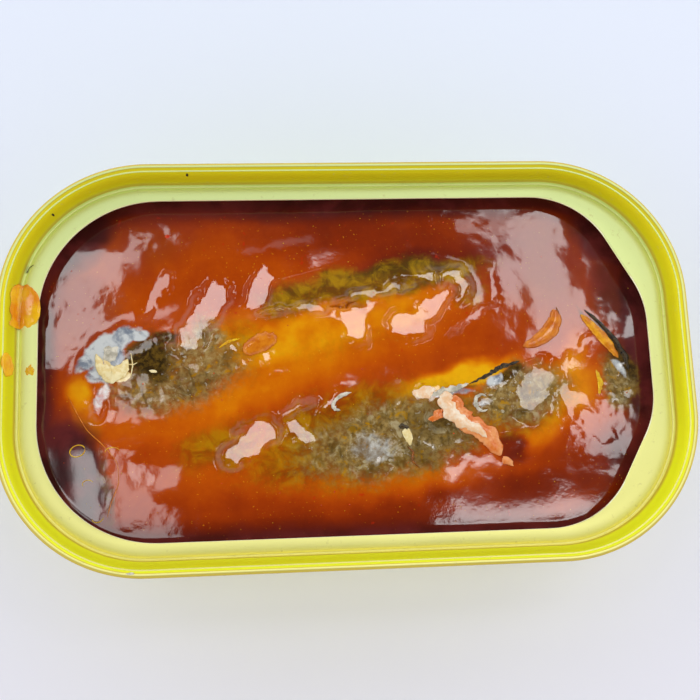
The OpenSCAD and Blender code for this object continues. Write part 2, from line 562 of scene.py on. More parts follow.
def build_lacquer_group() -> None:
    """Gold lacquer over rolled tinplate, with fine grain and painted light: Depth 0 is a near-white painted
    highlight, more Depth a deeper yellow of painted bounced light, and the north side is painted darker.
    """
    graph, ends = group(
        "lacquer", {"Place": ("Vector", None), "Depth": ("Float", 0.0), "Wear": ("Float", 0.3)},
        {"Color": "Color", "Roughness": "Float", "Height": "Float"})
    place, depth, wear = (ends["in"][k] for k in ("Place", "Depth", "Wear"))
    cloud = graph.noise(place, 16.0, 3.0)
    fine = graph.noise(place, 1.1, 4.0, 0.65)
    drawn_out = graph.add("Mapping", {"Vector": place, "Scale": (0.06, 1.0, 1.0)}).outputs[0]
    lines = graph.noise(drawn_out, 0.18, 2.0)
    # Painted shade: the metal's north side is painted darker and more olive than its south side.
    painted_north_shade = graph.range(graph.add("SeparateXYZ", {0: place}).outputs["Y"], -0.03, 0.03)
    pale = graph.mix(painted_north_shade, lin(255, 250, 160), lin(230, 244, 170))
    lime = graph.mix(graph.math("ADD", painted_north_shade, graph.math("MULTIPLY", cloud, 0.2), clamp=True),
                     lin(230, 238, 34), lin(218, 204, 20))
    # Painted light: near white at Depth 0 for the painted highlight at the tear, then deeper gold for painted
    # bounced light and shade.
    painted_light_ramp = graph.ramp(depth, (
        (0.0, lin(255, 254, 226)), (0.12, lin(250, 246, 170)), (0.5, lin(206, 182, 70))))
    colour = graph.mix(graph.range(depth, 0.10, 0.25, 1.0, 0.0), pale, painted_light_ramp)
    colour = graph.mix(graph.range(depth, 0.3, 0.5), colour, painted_light_ramp)
    # Painted bounced light: the deepest Depth, on the wall, turns the lacquer lime.
    colour = graph.mix(graph.range(depth, 0.55, 1.0), colour, lime)
    speck = graph.math("MULTIPLY", graph.range(fine, 0.60, 0.75), wear)
    graph.put(ends["out"]["Color"], graph.mix(speck, colour, lin(196, 186, 120)))
    rough = graph.math("ADD", graph.math("MULTIPLY", fine, 0.12), graph.math("MULTIPLY", cloud, 0.10))
    graph.put(ends["out"]["Roughness"], graph.math("ADD", rough, 0.40))
    graph.put(ends["out"]["Height"], graph.math("ADD", graph.math("MULTIPLY", lines, 0.6), fine))


def build_tomato_group() -> None:
    """Tomato sauce and oil: amber where thin, then orange, red and brown with depth, and maroon oil pools."""
    graph, ends = group(
        "tomato", {"Place": ("Vector", None), "Depth": ("Float", 0.5), "Oil": ("Float", 0.0)},
        {"Color": "Color"})
    place, depth, oil = (ends["in"][k] for k in ("Place", "Depth", "Oil"))
    cloud = graph.noise(place, 7.0, 4.0, 0.55, 0.4)
    grain = graph.noise(place, 0.9, 5.0, 0.6)
    sway = graph.math("ADD", graph.math("MULTIPLY", graph.math("SUBTRACT", cloud, 0.5), 0.34),
                      graph.math("MULTIPLY", graph.math("SUBTRACT", grain, 0.5), 0.10))
    level = graph.math("ADD", depth, sway, clamp=True)
    colour = graph.ramp(level, (
        (0.00, lin(236, 172, 10)), (0.14, lin(226, 138, 2)), (0.30, lin(208, 104, 0)),
        (0.46, lin(190, 78, 1)), (0.62, lin(166, 58, 2)), (0.78, lin(138, 42, 3)), (1.00, lin(104, 28, 10))))
    speck = graph.range(graph.noise(place, 0.42, 1.0), 0.70, 0.78)
    colour = graph.mix(graph.math("MULTIPLY", speck, 0.5), colour, lin(232, 150, 20))
    fleck = graph.range(graph.noise(place, 1.3, 2.0), 0.70, 0.80)
    colour = graph.mix(graph.math("MULTIPLY", fleck, 0.6), colour, lin(190, 40, 4))
    dark = graph.mix(graph.range(cloud, 0.35, 0.7), lin(60, 20, 22), lin(108, 40, 40))
    graph.put(ends["out"]["Color"], graph.mix(oil, colour, dark))


def build_wet_group() -> None:
    """The fine unevenness of a wet surface, as a height."""
    graph, ends = group(
        "wet_relief", {"Place": ("Vector", None), "Grain": ("Float", 1.0)}, {"Height": "Float"})
    place, grain = (ends["in"][k] for k in ("Place", "Grain"))
    fine = graph.noise(place, 0.55, 3.0, 0.6)
    wide = graph.noise(place, 2.4, 3.0, 0.5)
    graph.put(ends["out"]["Height"],
              graph.math("ADD", graph.math("MULTIPLY", fine, grain), graph.math("MULTIPLY", wide, 1.6)))


def build_skin_group() -> None:
    """Sardine skin seen through oil: olive, grey and yellow mottling, dark scale edges, silver and cream."""
    graph, ends = group(
        "fish_skin",
        {"Place": ("Vector", None), "Base": ("Color", None), "Olive": ("Float", 0.0), "Grey": ("Float", 0.0),
         "Dark": ("Float", 0.0), "Silver": ("Float", 0.0), "Cream": ("Float", 0.0)},
        {"Color": "Color", "Scale": "Float"})
    place = ends["in"]["Place"]
    lengthways = graph.add("Mapping", {"Vector": place, "Rotation": (0.0, 0.0, math.radians(-11.0)),
                                       "Scale": (1.0, 0.55, 1.0)}).outputs[0]
    swirl = graph.noise(lengthways, 4.0, 3.0, 0.6)
    shift = graph.math("MULTIPLY", swirl, 1.6 * MM)
    bent = graph.add("VectorMath", {0: lengthways, 1: shift}, operation="ADD").outputs[0]
    cells = graph.add("TexVoronoi", {"Vector": bent, "Scale": 1.0 / (1.9 * MM), "Randomness": 0.9},
                      feature="DISTANCE_TO_EDGE").outputs["Distance"]
    blot = graph.noise(place, 2.8, 4.0, 0.6, 0.6)
    fine = graph.noise(place, 0.8, 4.0, 0.65)
    broken = graph.math("ADD", graph.math("MULTIPLY", graph.math("SUBTRACT", blot, 0.5), 0.5),
                        graph.math("MULTIPLY", graph.math("SUBTRACT", fine, 0.5), 0.6))

    def ragged(name: str, low: float, high: float, most: float = 1.0) -> bpy.types.NodeSocket:
        """Breaks up a mask's soft edge with the noise.

        Args:
            name: The mask's input.
            low: Where the result is 0.
            high: Where the result is largest.
            most: The largest result.

        Returns:
            The broken mask's socket.
        """
        return graph.range(graph.math("ADD", ends["in"][name], broken), low, high, 0.0, most)

    olive = graph.mix(graph.range(blot, 0.38, 0.66), lin(74, 62, 4), lin(168, 132, 4))
    grey = graph.mix(graph.range(fine, 0.36, 0.64), lin(112, 90, 46), lin(160, 134, 80))
    patch = graph.noise(place, 1.9, 4.0, 0.65, 0.8)
    grey = graph.mix(graph.range(patch, 0.54, 0.66, 0.0, 0.8), grey, lin(186, 172, 132))
    grey = graph.mix(graph.range(patch, 0.44, 0.34, 0.0, 0.85), grey, lin(178, 128, 10))
    stain = graph.noise(place, 3.6, 3.0, 0.6)
    grey = graph.mix(graph.range(stain, 0.52, 0.64, 0.0, 0.7), grey, lin(74, 54, 20))
    silver = graph.mix(graph.range(blot, 0.36, 0.56), lin(122, 130, 144), lin(206, 208, 208))
    cream = graph.mix(graph.range(fine, 0.40, 0.62), lin(236, 208, 144), lin(248, 230, 182))
    dark = graph.mix(graph.range(fine, 0.38, 0.66), lin(40, 28, 8), lin(98, 72, 22))
    colour = graph.mix(ragged("Olive", 0.1, 1.1, 0.85), ends["in"]["Base"], olive)
    colour = graph.mix(ragged("Grey", 0.1, 1.0, 0.92), colour, grey)
    skin = graph.math("MAXIMUM", ends["in"]["Grey"], ends["in"]["Dark"])
    net = graph.math("MULTIPLY", graph.range(cells, 0.0, 0.16, 1.0, 0.0), graph.range(blot, 0.40, 0.6))
    edges = graph.math("MULTIPLY", net, skin)
    colour = graph.mix(graph.math("MULTIPLY", edges, 0.5), colour, lin(52, 38, 16))
    sparks = graph.range(graph.noise(place, 0.9, 3.0, 0.6), 0.62, 0.70)
    glint = graph.math("MULTIPLY", sparks, ragged("Grey", 0.5, 1.1))
    colour = graph.mix(graph.math("MULTIPLY", glint, 0.6), colour, lin(214, 206, 182))
    colour = graph.mix(ragged("Dark", 0.15, 0.9), colour, dark)
    colour = graph.mix(ragged("Silver", 0.3, 0.8), colour, silver)
    colour = graph.mix(ragged("Cream", 0.45, 0.6), colour, cream)
    graph.put(ends["out"]["Color"], colour)
    graph.put(ends["out"]["Scale"], graph.math("MULTIPLY", graph.range(cells, 0.0, 0.25), skin))


def add_bump(graph: Graph, shader: bpy.types.Node, height: object, strength: float, depth: float) -> None:
    """Gives a shader a bump.

    Args:
        graph: The material's graph.
        shader: Its shader node.
        height: The socket that gives the height.
        strength: How strongly the bump shows.
        depth: The height's full size in millimetres.
    """
    bump = graph.add("Bump", {"Height": height, "Strength": strength, "Distance": depth * MM})
    graph.put(shader.inputs["Normal"], bump.outputs[0])


@dataclass(frozen=True)
class Lacquer:
    """Gold-lacquered tinplate."""

    name: str
    wear: float
    metallic: float = 0.82
    bump: float = 0.05
    bump_depth: float = 0.03

    def make(self) -> bpy.types.Material:
        """Builds the material.

        Returns:
            The new material.
        """
        made, graph, shader, place = new_material(self.name)
        # The painted_light field sets how much painted light, bounced light, shade and highlight, the
        # lacquer's colour holds.
        depth = graph.field("painted_light")
        paint = use_group(graph, "lacquer", {"Place": place, "Depth": depth, "Wear": self.wear})
        graph.put(shader.inputs["Base Color"], paint.outputs["Color"])
        graph.put(shader.inputs["Roughness"], paint.outputs["Roughness"])
        shader.inputs["Metallic"].default_value = self.metallic
        add_bump(graph, shader, paint.outputs["Height"], self.bump, self.bump_depth)
        return made


# The masks of the fish skin, each stored on the mesh under its name in small letters.
SKIN_FIELDS = ("Olive", "Grey", "Dark", "Silver", "Cream")
OIL_IOR = 1.46


@dataclass(frozen=True)
class WetFood:
    """Sauce or glazed fish, which share their colours so that one runs into the other."""

    name: str
    grain: float
    scale_relief: float
    rough: float = 0.045
    bump: float = 0.25
    bump_depth: float = 0.012

    def make(self) -> bpy.types.Material:
        """Builds the material.

        Returns:
            The new material.
        """
        made, graph, shader, place = new_material(self.name)
        sauce = use_group(graph, "tomato", {
            "Place": place, "Depth": graph.field("depth"), "Oil": graph.field("oil")})
        skin = use_group(graph, "fish_skin", {
            "Place": place, "Base": sauce.outputs["Color"],
            **{name: graph.field(name.lower()) for name in SKIN_FIELDS}})
        wet = use_group(graph, "wet_relief", {"Place": place, "Grain": self.grain})
        graph.put(shader.inputs["Base Color"], skin.outputs["Color"])
        shader.inputs["Roughness"].default_value = self.rough
        shader.inputs["IOR"].default_value = OIL_IOR
        calm = graph.range(graph.field("oil"), 0.0, 1.0, 1.0, 0.2)
        height = graph.math("ADD", graph.math("MULTIPLY", wet.outputs["Height"], calm),
                            graph.math("MULTIPLY", skin.outputs["Scale"], self.scale_relief))
        add_bump(graph, shader, height, self.bump, self.bump_depth)
        return made


@dataclass(frozen=True)
class Morsel:
    """A small scrap in the sauce, mottled between two colours."""

    name: str
    first: Colour
    second: Colour
    size: float = 0.8
    rough: float = 0.15
    bump: float = 0.3
    bump_depth: float = 0.06

    def make(self) -> bpy.types.Material:
        """Builds the material.

        Returns:
            The new material.
        """
        made, graph, shader, place = new_material(self.name)
        blot = graph.range(graph.noise(place, self.size, 4.0, 0.6), 0.35, 0.65)
        graph.put(shader.inputs["Base Color"], graph.mix(blot, self.first, self.second))
        shader.inputs["Roughness"].default_value = self.rough
        shader.inputs["IOR"].default_value = OIL_IOR
        wet = use_group(graph, "wet_relief", {"Place": place, "Grain": 1.0})
        add_bump(graph, shader, wet.outputs["Height"], self.bump, self.bump_depth)
        return made


Ground = Callable[[np.ndarray, np.ndarray], np.ndarray]


# ---------------------------------------------------------------- the tin


@dataclass
class CanBody:
    """The drawn can: wall, rounded base, foot ring and raised panel."""

    wall_out: float = 1.0
    sheet: float = 0.25
    base_radius: float = 2.5
    foot_width: float = 1.4
    panel_rise: float = 0.7
    panel_edge: float = 3.0
    wall_joint: float = 12.0
    # The can's level of painted light in the lacquer, which keeps it pale.
    painted_light: float = 0.3
    top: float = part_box("can")[1].z / MM

    def profile(self) -> list[Point]:
        """Draws the can's skin, from its inner floor over the lip to its underside.

        Returns:
            The points as (inset, height). The floor and the underside are still open in the middle.
        """
        foot = self.wall_out + self.base_radius + self.foot_width
        panel = foot + self.panel_rise
        corner = self.wall_out + self.base_radius
        inside = [(panel + self.panel_edge, self.panel_rise + self.sheet),
                  (panel, self.panel_rise + self.sheet), (foot, self.sheet)]
        inside += bend(corner, self.base_radius, self.base_radius - self.sheet, 270, 180, 10)
        outside = [(self.wall_out, self.wall_joint)]
        outside += bend(corner, self.base_radius, self.base_radius, 180, 270, 10)
        outside += [(foot - 0.3, 0.0), (foot, 0.06), (panel - 0.1, self.panel_rise - 0.06),
                    (panel + 0.25, self.panel_rise), (panel + self.panel_edge, self.panel_rise)]
        lip = [(self.wall_out + self.sheet, self.top), (self.wall_out, self.top)]
        return inside + lip + outside

    def build(self, finish: bpy.types.Material) -> bpy.types.Object:
        """Builds the can.

        Args:
            finish: Its lacquer.

        Returns:
            The finished piece.
        """
        can = sweep(self.profile(), corner_steps=32, side_cuts=20)
        # Both open middles are closed, and inset twice so that no face spans the whole panel.
        make_active(can)
        bpy.ops.object.mode_set(mode="EDIT")
        middle = self.panel_rise + self.sheet / 2
        for above in (True, False):
            select_ring(can, lambda p, up=above: (p.z > middle) == up)
            bpy.ops.mesh.edge_face_add()
            bpy.ops.mesh.inset(thickness=6.0 * MM)
            bpy.ops.mesh.inset(thickness=8.0 * MM)
        bpy.ops.object.mode_set(mode="OBJECT")
        outwards(can)
        # The can's lacquer takes one level of painted light throughout.
        set_field(can, "painted_light", np.full(len(can.data.vertices), self.painted_light))
        return complete(can, "can_body", finish, 40.0)


@dataclass
class LidRing:
    """What is left of the lid: the seam, its leaning wall, the groove and the ledge round the opening."""

    sheet: float = 0.25
    fold: float = 0.9
    seam_height: float = 2.8
    hook_in: float = 1.3
    wall_foot: float = 2.45
    groove: float = 0.45
    ledge_depth: float = 3.5
    groove_depth: float = 0.3
    ledge_lap: float = 0.55
    fold_gap: float = 0.4
    face_height: float = 1.6
    knee_in: float = 0.25
    knee_height: float = 1.4
    ledge_side: float = 2.0
    ledge_end: float = 2.55
    opening_corner: float = 18.0
    cut_width: float = 17.0
    cut_length: float = 9.5
    cut_rounding: float = 14.0
    ledge_crown: float = 0.12
    crown_width: float = 2.2
    buckle: float = 0.05
    # Width of the near-white painted highlight along the torn edge.
    tear_width: float = 0.09

    @property
    def ledge_top(self) -> float:
        """Height of the ledge."""
        return RIM_TOP - self.ledge_depth

    @property
    def ledge_out(self) -> float:
        """Inset of the ledge's outer edge."""
        return self.wall_foot + self.groove

    def profile(self) -> list[Point]:
        """Draws the bent sheet, from the ledge's underside, over the seam, to the ledge's upper side.

        Returns:
            The points as (inset, height).
        """
        half = self.fold / 2
        groove_x = self.wall_foot + self.groove / 2
        groove_z = self.ledge_top - self.groove_depth + self.groove / 2
        fold_foot = RIM_TOP - self.seam_height
        inner = self.hook_in - self.sheet
        points = [(self.ledge_out + self.ledge_lap, self.ledge_top - self.sheet)]
        points += [(self.ledge_out + self.sheet / 2, self.ledge_top - self.sheet)]
        points += bend(groove_x, groove_z, self.groove / 2 + self.sheet, 290, 180, 6)
        points += [(inner, fold_foot), (inner, RIM_TOP - self.fold_gap)]
        points += [(self.fold, RIM_TOP - self.fold_gap), (self.fold, fold_foot)]
        points += bend(half * 0.6, fold_foot + half * 0.6, half * 0.6, 270, 180, 5)
        points += [(0.0, RIM_TOP - self.face_height)]
        points += bend(half, RIM_TOP - half, half, 180, 90, 6)
        points += [(0.62, RIM_TOP - 0.02), (0.78, RIM_TOP - 0.1), (self.hook_in, RIM_TOP - 0.55)]
        points += [(self.wall_foot - self.knee_in, self.ledge_top + self.knee_height)]
        points += bend(groove_x, groove_z, self.groove / 2, 180, 320, 8)
        points += [(self.ledge_out + 0.05, self.ledge_top - 0.05), (self.ledge_out + 0.25, self.ledge_top)]
        points += [(self.ledge_out + self.ledge_lap, self.ledge_top)]
        return points

    def opening(self) -> np.ndarray:
        """Draws the torn edge: round at the plain end, with cut corners at the pull end.

        Returns:
            Points round the plan, one row each, in millimetres.
        """
        arc_steps = 24
        x = PLAN.half_length - self.ledge_out - self.ledge_end
        y = PLAN.half_width - self.ledge_out - self.ledge_side
        round_end, cut = self.opening_corner, self.cut_rounding
        corners = [((-x, -y), round_end), ((x - self.cut_length, -y), cut), ((x, -y + self.cut_width), cut),
                   ((x, y - self.cut_width), cut), ((x - self.cut_length, y), cut), ((-x, y), round_end)]
        points = []
        for i, (corner, radius) in enumerate(corners):
            at = Vector(corner)
            back = (Vector(corners[i - 1][0]) - at).normalized()
            on = (Vector(corners[(i + 1) % len(corners)][0]) - at).normalized()
            half = back.angle(on) / 2
            centre = at + (back + on).normalized() * radius / math.sin(half)
            start, end = at + back * radius / math.tan(half), at + on * radius / math.tan(half)
            first = math.atan2(start.y - centre.y, start.x - centre.x)
            last = math.atan2(end.y - centre.y, end.x - centre.x)
            swing = (last - first + math.pi) % (2 * math.pi) - math.pi
            points += [(centre.x + radius * math.cos(first + swing * k / arc_steps),
                        centre.y + radius * math.sin(first + swing * k / arc_steps))
                       for k in range(arc_steps + 1)]
        return np.array(points)

    def width_at(self, place: Vector, out: Point, edge: np.ndarray) -> float:
        """How far the ledge runs inwards from a place before it meets the torn edge.

        Args:
            place: The place, in metres.
            out: The outward direction there.
            edge: The torn edge, from opening().

        Returns:
            The distance in millimetres.
        """
        start = np.array([place.x, place.y]) / MM
        way = -np.array(out)
        ends = np.roll(edge, -1, axis=0)
        span = ends - edge
        cross = way[0] * span[:, 1] - way[1] * span[:, 0]
        gap = edge - start
        with np.errstate(divide="ignore", invalid="ignore"):
            far = (gap[:, 0] * span[:, 1] - gap[:, 1] * span[:, 0]) / cross
            share = (gap[:, 0] * way[1] - gap[:, 1] * way[0]) / cross
        hits = far[(share >= -1e-6) & (share <= 1 + 1e-6) & (far > 0)]
        return float(hits.min())

    def on_sheet(self, places: np.ndarray, edge: np.ndarray) -> np.ndarray:
        """Says whether each place lies on the sheet, outside the torn edge.

        Args:
            places: The places in plan, in millimetres.
            edge: The torn edge, from opening().

        Returns:
            True for each place on the sheet.
        """
        ends = np.roll(edge, -1, axis=0)
        span = ends - edge
        gap = places[:, None] - edge
        cross = span[:, 0] * gap[:, :, 1] - span[:, 1] * gap[:, :, 0]
        return (cross / np.hypot(span[:, 0], span[:, 1]).clip(1e-6)).min(axis=1) < 0.0

    def height(self, inset: np.ndarray) -> np.ndarray:
        """The height of the metal's upper side, near enough to lay small things on it.

        Args:
            inset: Distances from the tin's outline, in millimetres.

        Returns:
            The heights in millimetres.
        """
        at = (0.0, 0.45, self.hook_in - 0.4, self.hook_in, self.wall_foot - self.knee_in,
              self.wall_foot + 0.2, self.ledge_out, self.ledge_out + 0.3)
        up = (-0.6, 0.0, 0.0, -0.5, self.knee_height - self.ledge_depth,
              -self.groove_depth - self.ledge_depth, -0.1 - self.ledge_depth, -self.ledge_depth)
        return RIM_TOP + np.interp(inset, at, up)

    def build(self, finish: bpy.types.Material) -> bpy.types.Object:
        """Builds the lid's ring, with its ledge run in to the torn edge and back underneath.

        Args:
            finish: Its lacquer.

        Returns:
            The finished piece.
        """
        ring = sweep(self.profile(), corner_steps=44, side_cuts=40)
        edge = self.opening()
        # Each step is a share of the way to the torn edge and a drop: in over the top, and back underneath.
        steps = [(k / 6, 0.0) for k in range(1, 6)]
        steps += [(0.92, 0.0), (0.975, 0.0), (1.0, -0.08), (1.0, -self.sheet + 0.06)]
        steps += [(0.975, -self.sheet), (0.0, -self.sheet)]
        make_active(ring)
        bpy.ops.object.mode_set(mode="EDIT")
        select_ring(ring, lambda p: p.z > self.ledge_top - self.sheet / 2)
        mesh = bmesh.from_edit_mesh(ring.data)
        start = {v.index: v.co.copy() for v in mesh.verts if v.select}
        outs = {i: PLAN.outward(at.x / MM, at.y / MM) for i, at in start.items()}
        widths = {i: self.width_at(at, outs[i], edge) for i, at in start.items()}
        # An extruded vertex is known again by its place in plan.
        homes = {plan_key(at): i for i, at in start.items()}
        for share, drop in steps:
            bpy.ops.mesh.extrude_region_move()
            mesh = bmesh.from_edit_mesh(ring.data)
            moved = {}
            for vertex in mesh.verts:
                if vertex.select:
                    i = homes[plan_key(vertex.co)]
                    shift = Vector((outs[i][0], outs[i][1], 0.0)) * widths[i] * share * MM
                    vertex.co = start[i] - shift + Vector((0.0, 0.0, drop * MM))
                    moved[plan_key(vertex.co)] = i
            homes = moved
        bmesh.update_edit_mesh(ring.data)
        bpy.ops.object.mode_set(mode="OBJECT")
        outwards(ring, merge=0.002 * MM)
        place = coords(ring)
        inset = PLAN.inset(place[:, 0], place[:, 1])
        on_ledge = (inset > self.ledge_out + 0.5) & (place[:, 2] > self.ledge_top - self.sheet / 2)
        share = np.clip((inset - self.ledge_out) / self.crown_width, 0.0, 1.0)
        swell = self.ledge_crown * np.sin(math.pi * share)
        waves = ripple(place[:, 0], place[:, 1], 9.0, 3.1, 2)
        place[:, 2] += np.where(on_ledge, swell, 0.0) + self.buckle * waves * (inset > self.ledge_out)
        set_coords(ring, place)
        # The lacquer's colour holds painted light: painted bounced light deepens it on the wall, painted
        # shade a little in the groove and a painted reflection at the hem, and the tear is a near-white
        # painted highlight.
        height = place[:, 2]
        wall = smoothstep(self.ledge_top + 0.1, self.ledge_top + 0.5, height) * smoothstep(0.64, 0.84, inset)
        groove = smoothstep(self.ledge_top - 0.02, self.ledge_top - 0.2, height)
        groove = groove * (inset < self.ledge_out + 0.3)
        hem = smoothstep(0.55, 0.3, inset)
        reach = np.array([PLAN.outward(px, py) for px, py in place[:, :2]])
        probe = place[:, :2] - self.tear_width * reach
        # Painted highlight: a thin strip along the torn edge is painted near white.
        torn = on_ledge & ~self.on_sheet(probe, edge)
        painted_light = np.clip(0.27 + 0.75 * wall + 0.1 * groove + 0.22 * hem, 0.0, 1.0)
        set_field(ring, "painted_light", np.where(torn, 0.0, painted_light))
        return complete(ring, "lid_rim", finish, 50.0)


# ---------------------------------------------------------------- fish and sauce


@dataclass(frozen=True)
class Sardine:
    """One sardine, lying from its tail's cut end to its head's cut end.

    The ends are places of its middle line. "proud" and "cover" say how much of its back counts as seen in
    the sauce's colour, and "rise" is how far the wet surface swells over it.
    """

    name: str
    node: str
    tail: tuple[float, float, float]
    head: tuple[float, float, float]
    width: float
    bow: float
    tail_girth: float
    flatness: float = 0.9
    full_girth: float = 0.6
    bluntness: float = 7.0
    shoulder: float = 3.0
    ring_spacing: float = 0.3
    sides: int = 120
    end_length: float = 4.0
    least_half: float = 0.4
    skin_rise: float = 0.012
    proud: float = 0.72
    rise: float = 0.5
    cover: float = 0.0

    def along(self) -> tuple[Point, float]:
        """Measures the sardine in plan.

        Returns:
            The direction from tail to head, and the length in millimetres.
        """
        dx, dy = self.head[0] - self.tail[0], self.head[1] - self.tail[1]
        far = math.hypot(dx, dy)
        return (dx / far, dy / far), far

    def girth(self, share: np.ndarray) -> np.ndarray:
        """Half the width, as a share of its full value.

        Args:
            share: Shares of the length, from the tail.

        Returns:
            One value for each share.
        """
        ends = np.sqrt(np.clip(1.0 - np.abs(2.0 * share - 1.0) ** self.bluntness, 0.0, 1.0))
        grown = np.sin(math.pi / 2 * np.minimum(1.0, share / self.full_girth))
        return ends * (self.tail_girth + (1.0 - self.tail_girth) * grown)

    def hump(self, x: np.ndarray, y: np.ndarray) -> tuple[np.ndarray, np.ndarray, np.ndarray]:
        """The height of the sardine's back over the plan.

        Args:
            x: Places along the tin.
            y: Places across it.

        Returns:
            The height, the share of the length from the tail, and the place across, -1 to 1 at its sides.
        """
        (ax, ay), far = self.along()
        dx, dy = x - self.tail[0], y - self.tail[1]
        share = np.clip((dx * ax + dy * ay) / far, 0.0, 1.0)
        side = -dx * ay + dy * ax - self.bow * np.sin(math.pi * share)
        half = np.maximum(self.width / 2 * self.girth(share), self.least_half)
        across = side / half
        over = np.maximum(0.0, np.abs(dx * ax + dy * ay - far * 0.5) - far * 0.5)
        middle = self.tail[2] + (self.head[2] - self.tail[2]) * share
        drop = np.abs(across) ** self.shoulder + over
        return middle + half * self.flatness * (1.0 - drop), share, across

    def build(self, finish: bpy.types.Material, larder: "Contents") -> bpy.types.Object:
        """Builds the sardine as rings round its middle line, with its back just through the wet surface.

        Args:
            finish: Its skin.
            larder: The contents that know where each colour lies.

        Returns:
            The finished piece.
        """
        (ax, ay), far = self.along()
        deselect_all()
        bpy.ops.mesh.primitive_grid_add(
            x_subdivisions=int(far / self.ring_spacing), y_subdivisions=self.sides, size=2.0)
        fish = bpy.context.object
        grid = coords(fish) * MM
        # The grid becomes the share of the length and the turn round it, with the rings closer at the ends.
        share = (1.0 - np.cos(math.pi * (grid[:, 0] + 1.0) / 2)) / 2
        share = 0.55 * share + 0.45 * (grid[:, 0] + 1.0) / 2
        turn = math.pi * (grid[:, 1] + 1.0)
        half = self.width / 2 * self.girth(share)
        side = half * np.cos(turn) + self.bow * np.sin(math.pi * share)
        x = self.tail[0] + ax * far * share - ay * side
        y = self.tail[1] + ay * far * share + ax * side
        middle = self.tail[2] + (self.head[2] - self.tail[2]) * share
        tip = 1.0 - far * np.minimum(share, 1.0 - share) / self.end_length
        edge = np.maximum(np.abs(np.cos(turn)), tip)
        # The skin slips under the sauce towards its sides and ends, and where the back lies deep.
        sunk = self.hump(x, y)[0] - larder.level
        fade = 2.0 * self.skin_rise * np.maximum(smoothstep(0.5, 0.86, edge), smoothstep(2.4, -1.8, sunk))
        back = larder.surface(x, y) + self.skin_rise - fade - 1.5 * smoothstep(-1.8, -3.6, sunk)
        sink = smoothstep(0.84, 1.0, edge) ** 1.5
        back = back * (1.0 - sink) + middle * sink
        belly = middle + half * self.flatness * np.sin(turn)
        z = np.where(np.sin(turn) > 0.0, back, belly)
        set_coords(fish, np.stack([x, y, z], axis=1))
        outwards(fish, merge=0.02 * MM)
        larder.dress(fish, coords(fish))
        return complete(fish, self.name, finish)


@dataclass(frozen=True)
class Blot:
    """A soft oval area on the contents, seen from above."""

    x: float
    y: float
    long: float
    short: float
    turn: float = 0.0
    strength: float = 1.0
    soft: float = 0.35
    squareness: float = 2.0

    def over(self, x: np.ndarray, y: np.ndarray) -> np.ndarray:
        """How much of the blot lies over each place.

        Args:
            x: Places along the tin, in millimetres.
            y: Places across it.

        Returns:
            The blot's strength at each place.
        """
        dx, dy = turned(x - self.x, y - self.y, -self.turn)
        u, v = np.abs(dx) / self.long, np.abs(dy) / self.short
        far = (u ** self.squareness + v ** self.squareness) ** (1.0 / self.squareness)
        return self.strength * smoothstep(1.0 + self.soft, 1.0 - self.soft, far)


def blots(*rows: tuple[float, ...]) -> list[Blot]:
    """Blots from rows of their fields: x, y, long, short, turn, strength and soft."""
    return [Blot(*row) for row in rows]


def pile(areas: Sequence[Blot], x: np.ndarray, y: np.ndarray) -> np.ndarray:
    """The strongest of several blots over each place."""
    return np.max([area.over(x, y) for area in areas], axis=0)


def heap(areas: Sequence[Blot], x: np.ndarray, y: np.ndarray) -> np.ndarray:
    """The sum of several blots over each place."""
    return np.sum([area.over(x, y) for area in areas], axis=0)


class Pane(Enum):
    """Places near the middles of the windows that the patches mirror, in plan."""

    LEFT = (-131.0, 119.0)
    RIGHT = (171.0, 140.0)
    BACK = (45.0, 120.0)
    LOW = (206.0, 31.0)


@dataclass(frozen=True)
class Facet:
    """A patch of the wet surface that leans just enough to mirror a window to the eye."""

    x: float
    y: float
    long: float
    short: float
    turn: float
    pane: Pane
    spread: float = 1.22
    soft: float = 0.20
    squareness: float = 3.0
    hollow: float = 0.0021

    def mask(self, x: np.ndarray, y: np.ndarray) -> np.ndarray:
        """How much of the patch lies over each place."""
        return Blot(self.x, self.y, self.spread * self.long, self.spread * self.short, self.turn, 1.0,
                    self.soft, self.squareness).over(x, y)

    def plane(self, x: np.ndarray, y: np.ndarray, middle: float) -> np.ndarray:
        """The leaning, slightly hollow patch that mirrors its window's middle throughout.

        Args:
            x: Places along the tin, in millimetres.
            y: Places across it.
            middle: The height of the patch at its middle.

        Returns:
            The height at each place.
        """
        at = Vector((self.x, self.y, middle))
        up = (EYE - at).normalized() + (Vector((*self.pane.value, WINDOW_HEIGHT)) - at).normalized()
        dx, dy = x - self.x, y - self.y
        return middle - (up.x * dx + up.y * dy) / up.z + self.hollow * (dx * dx + dy * dy)


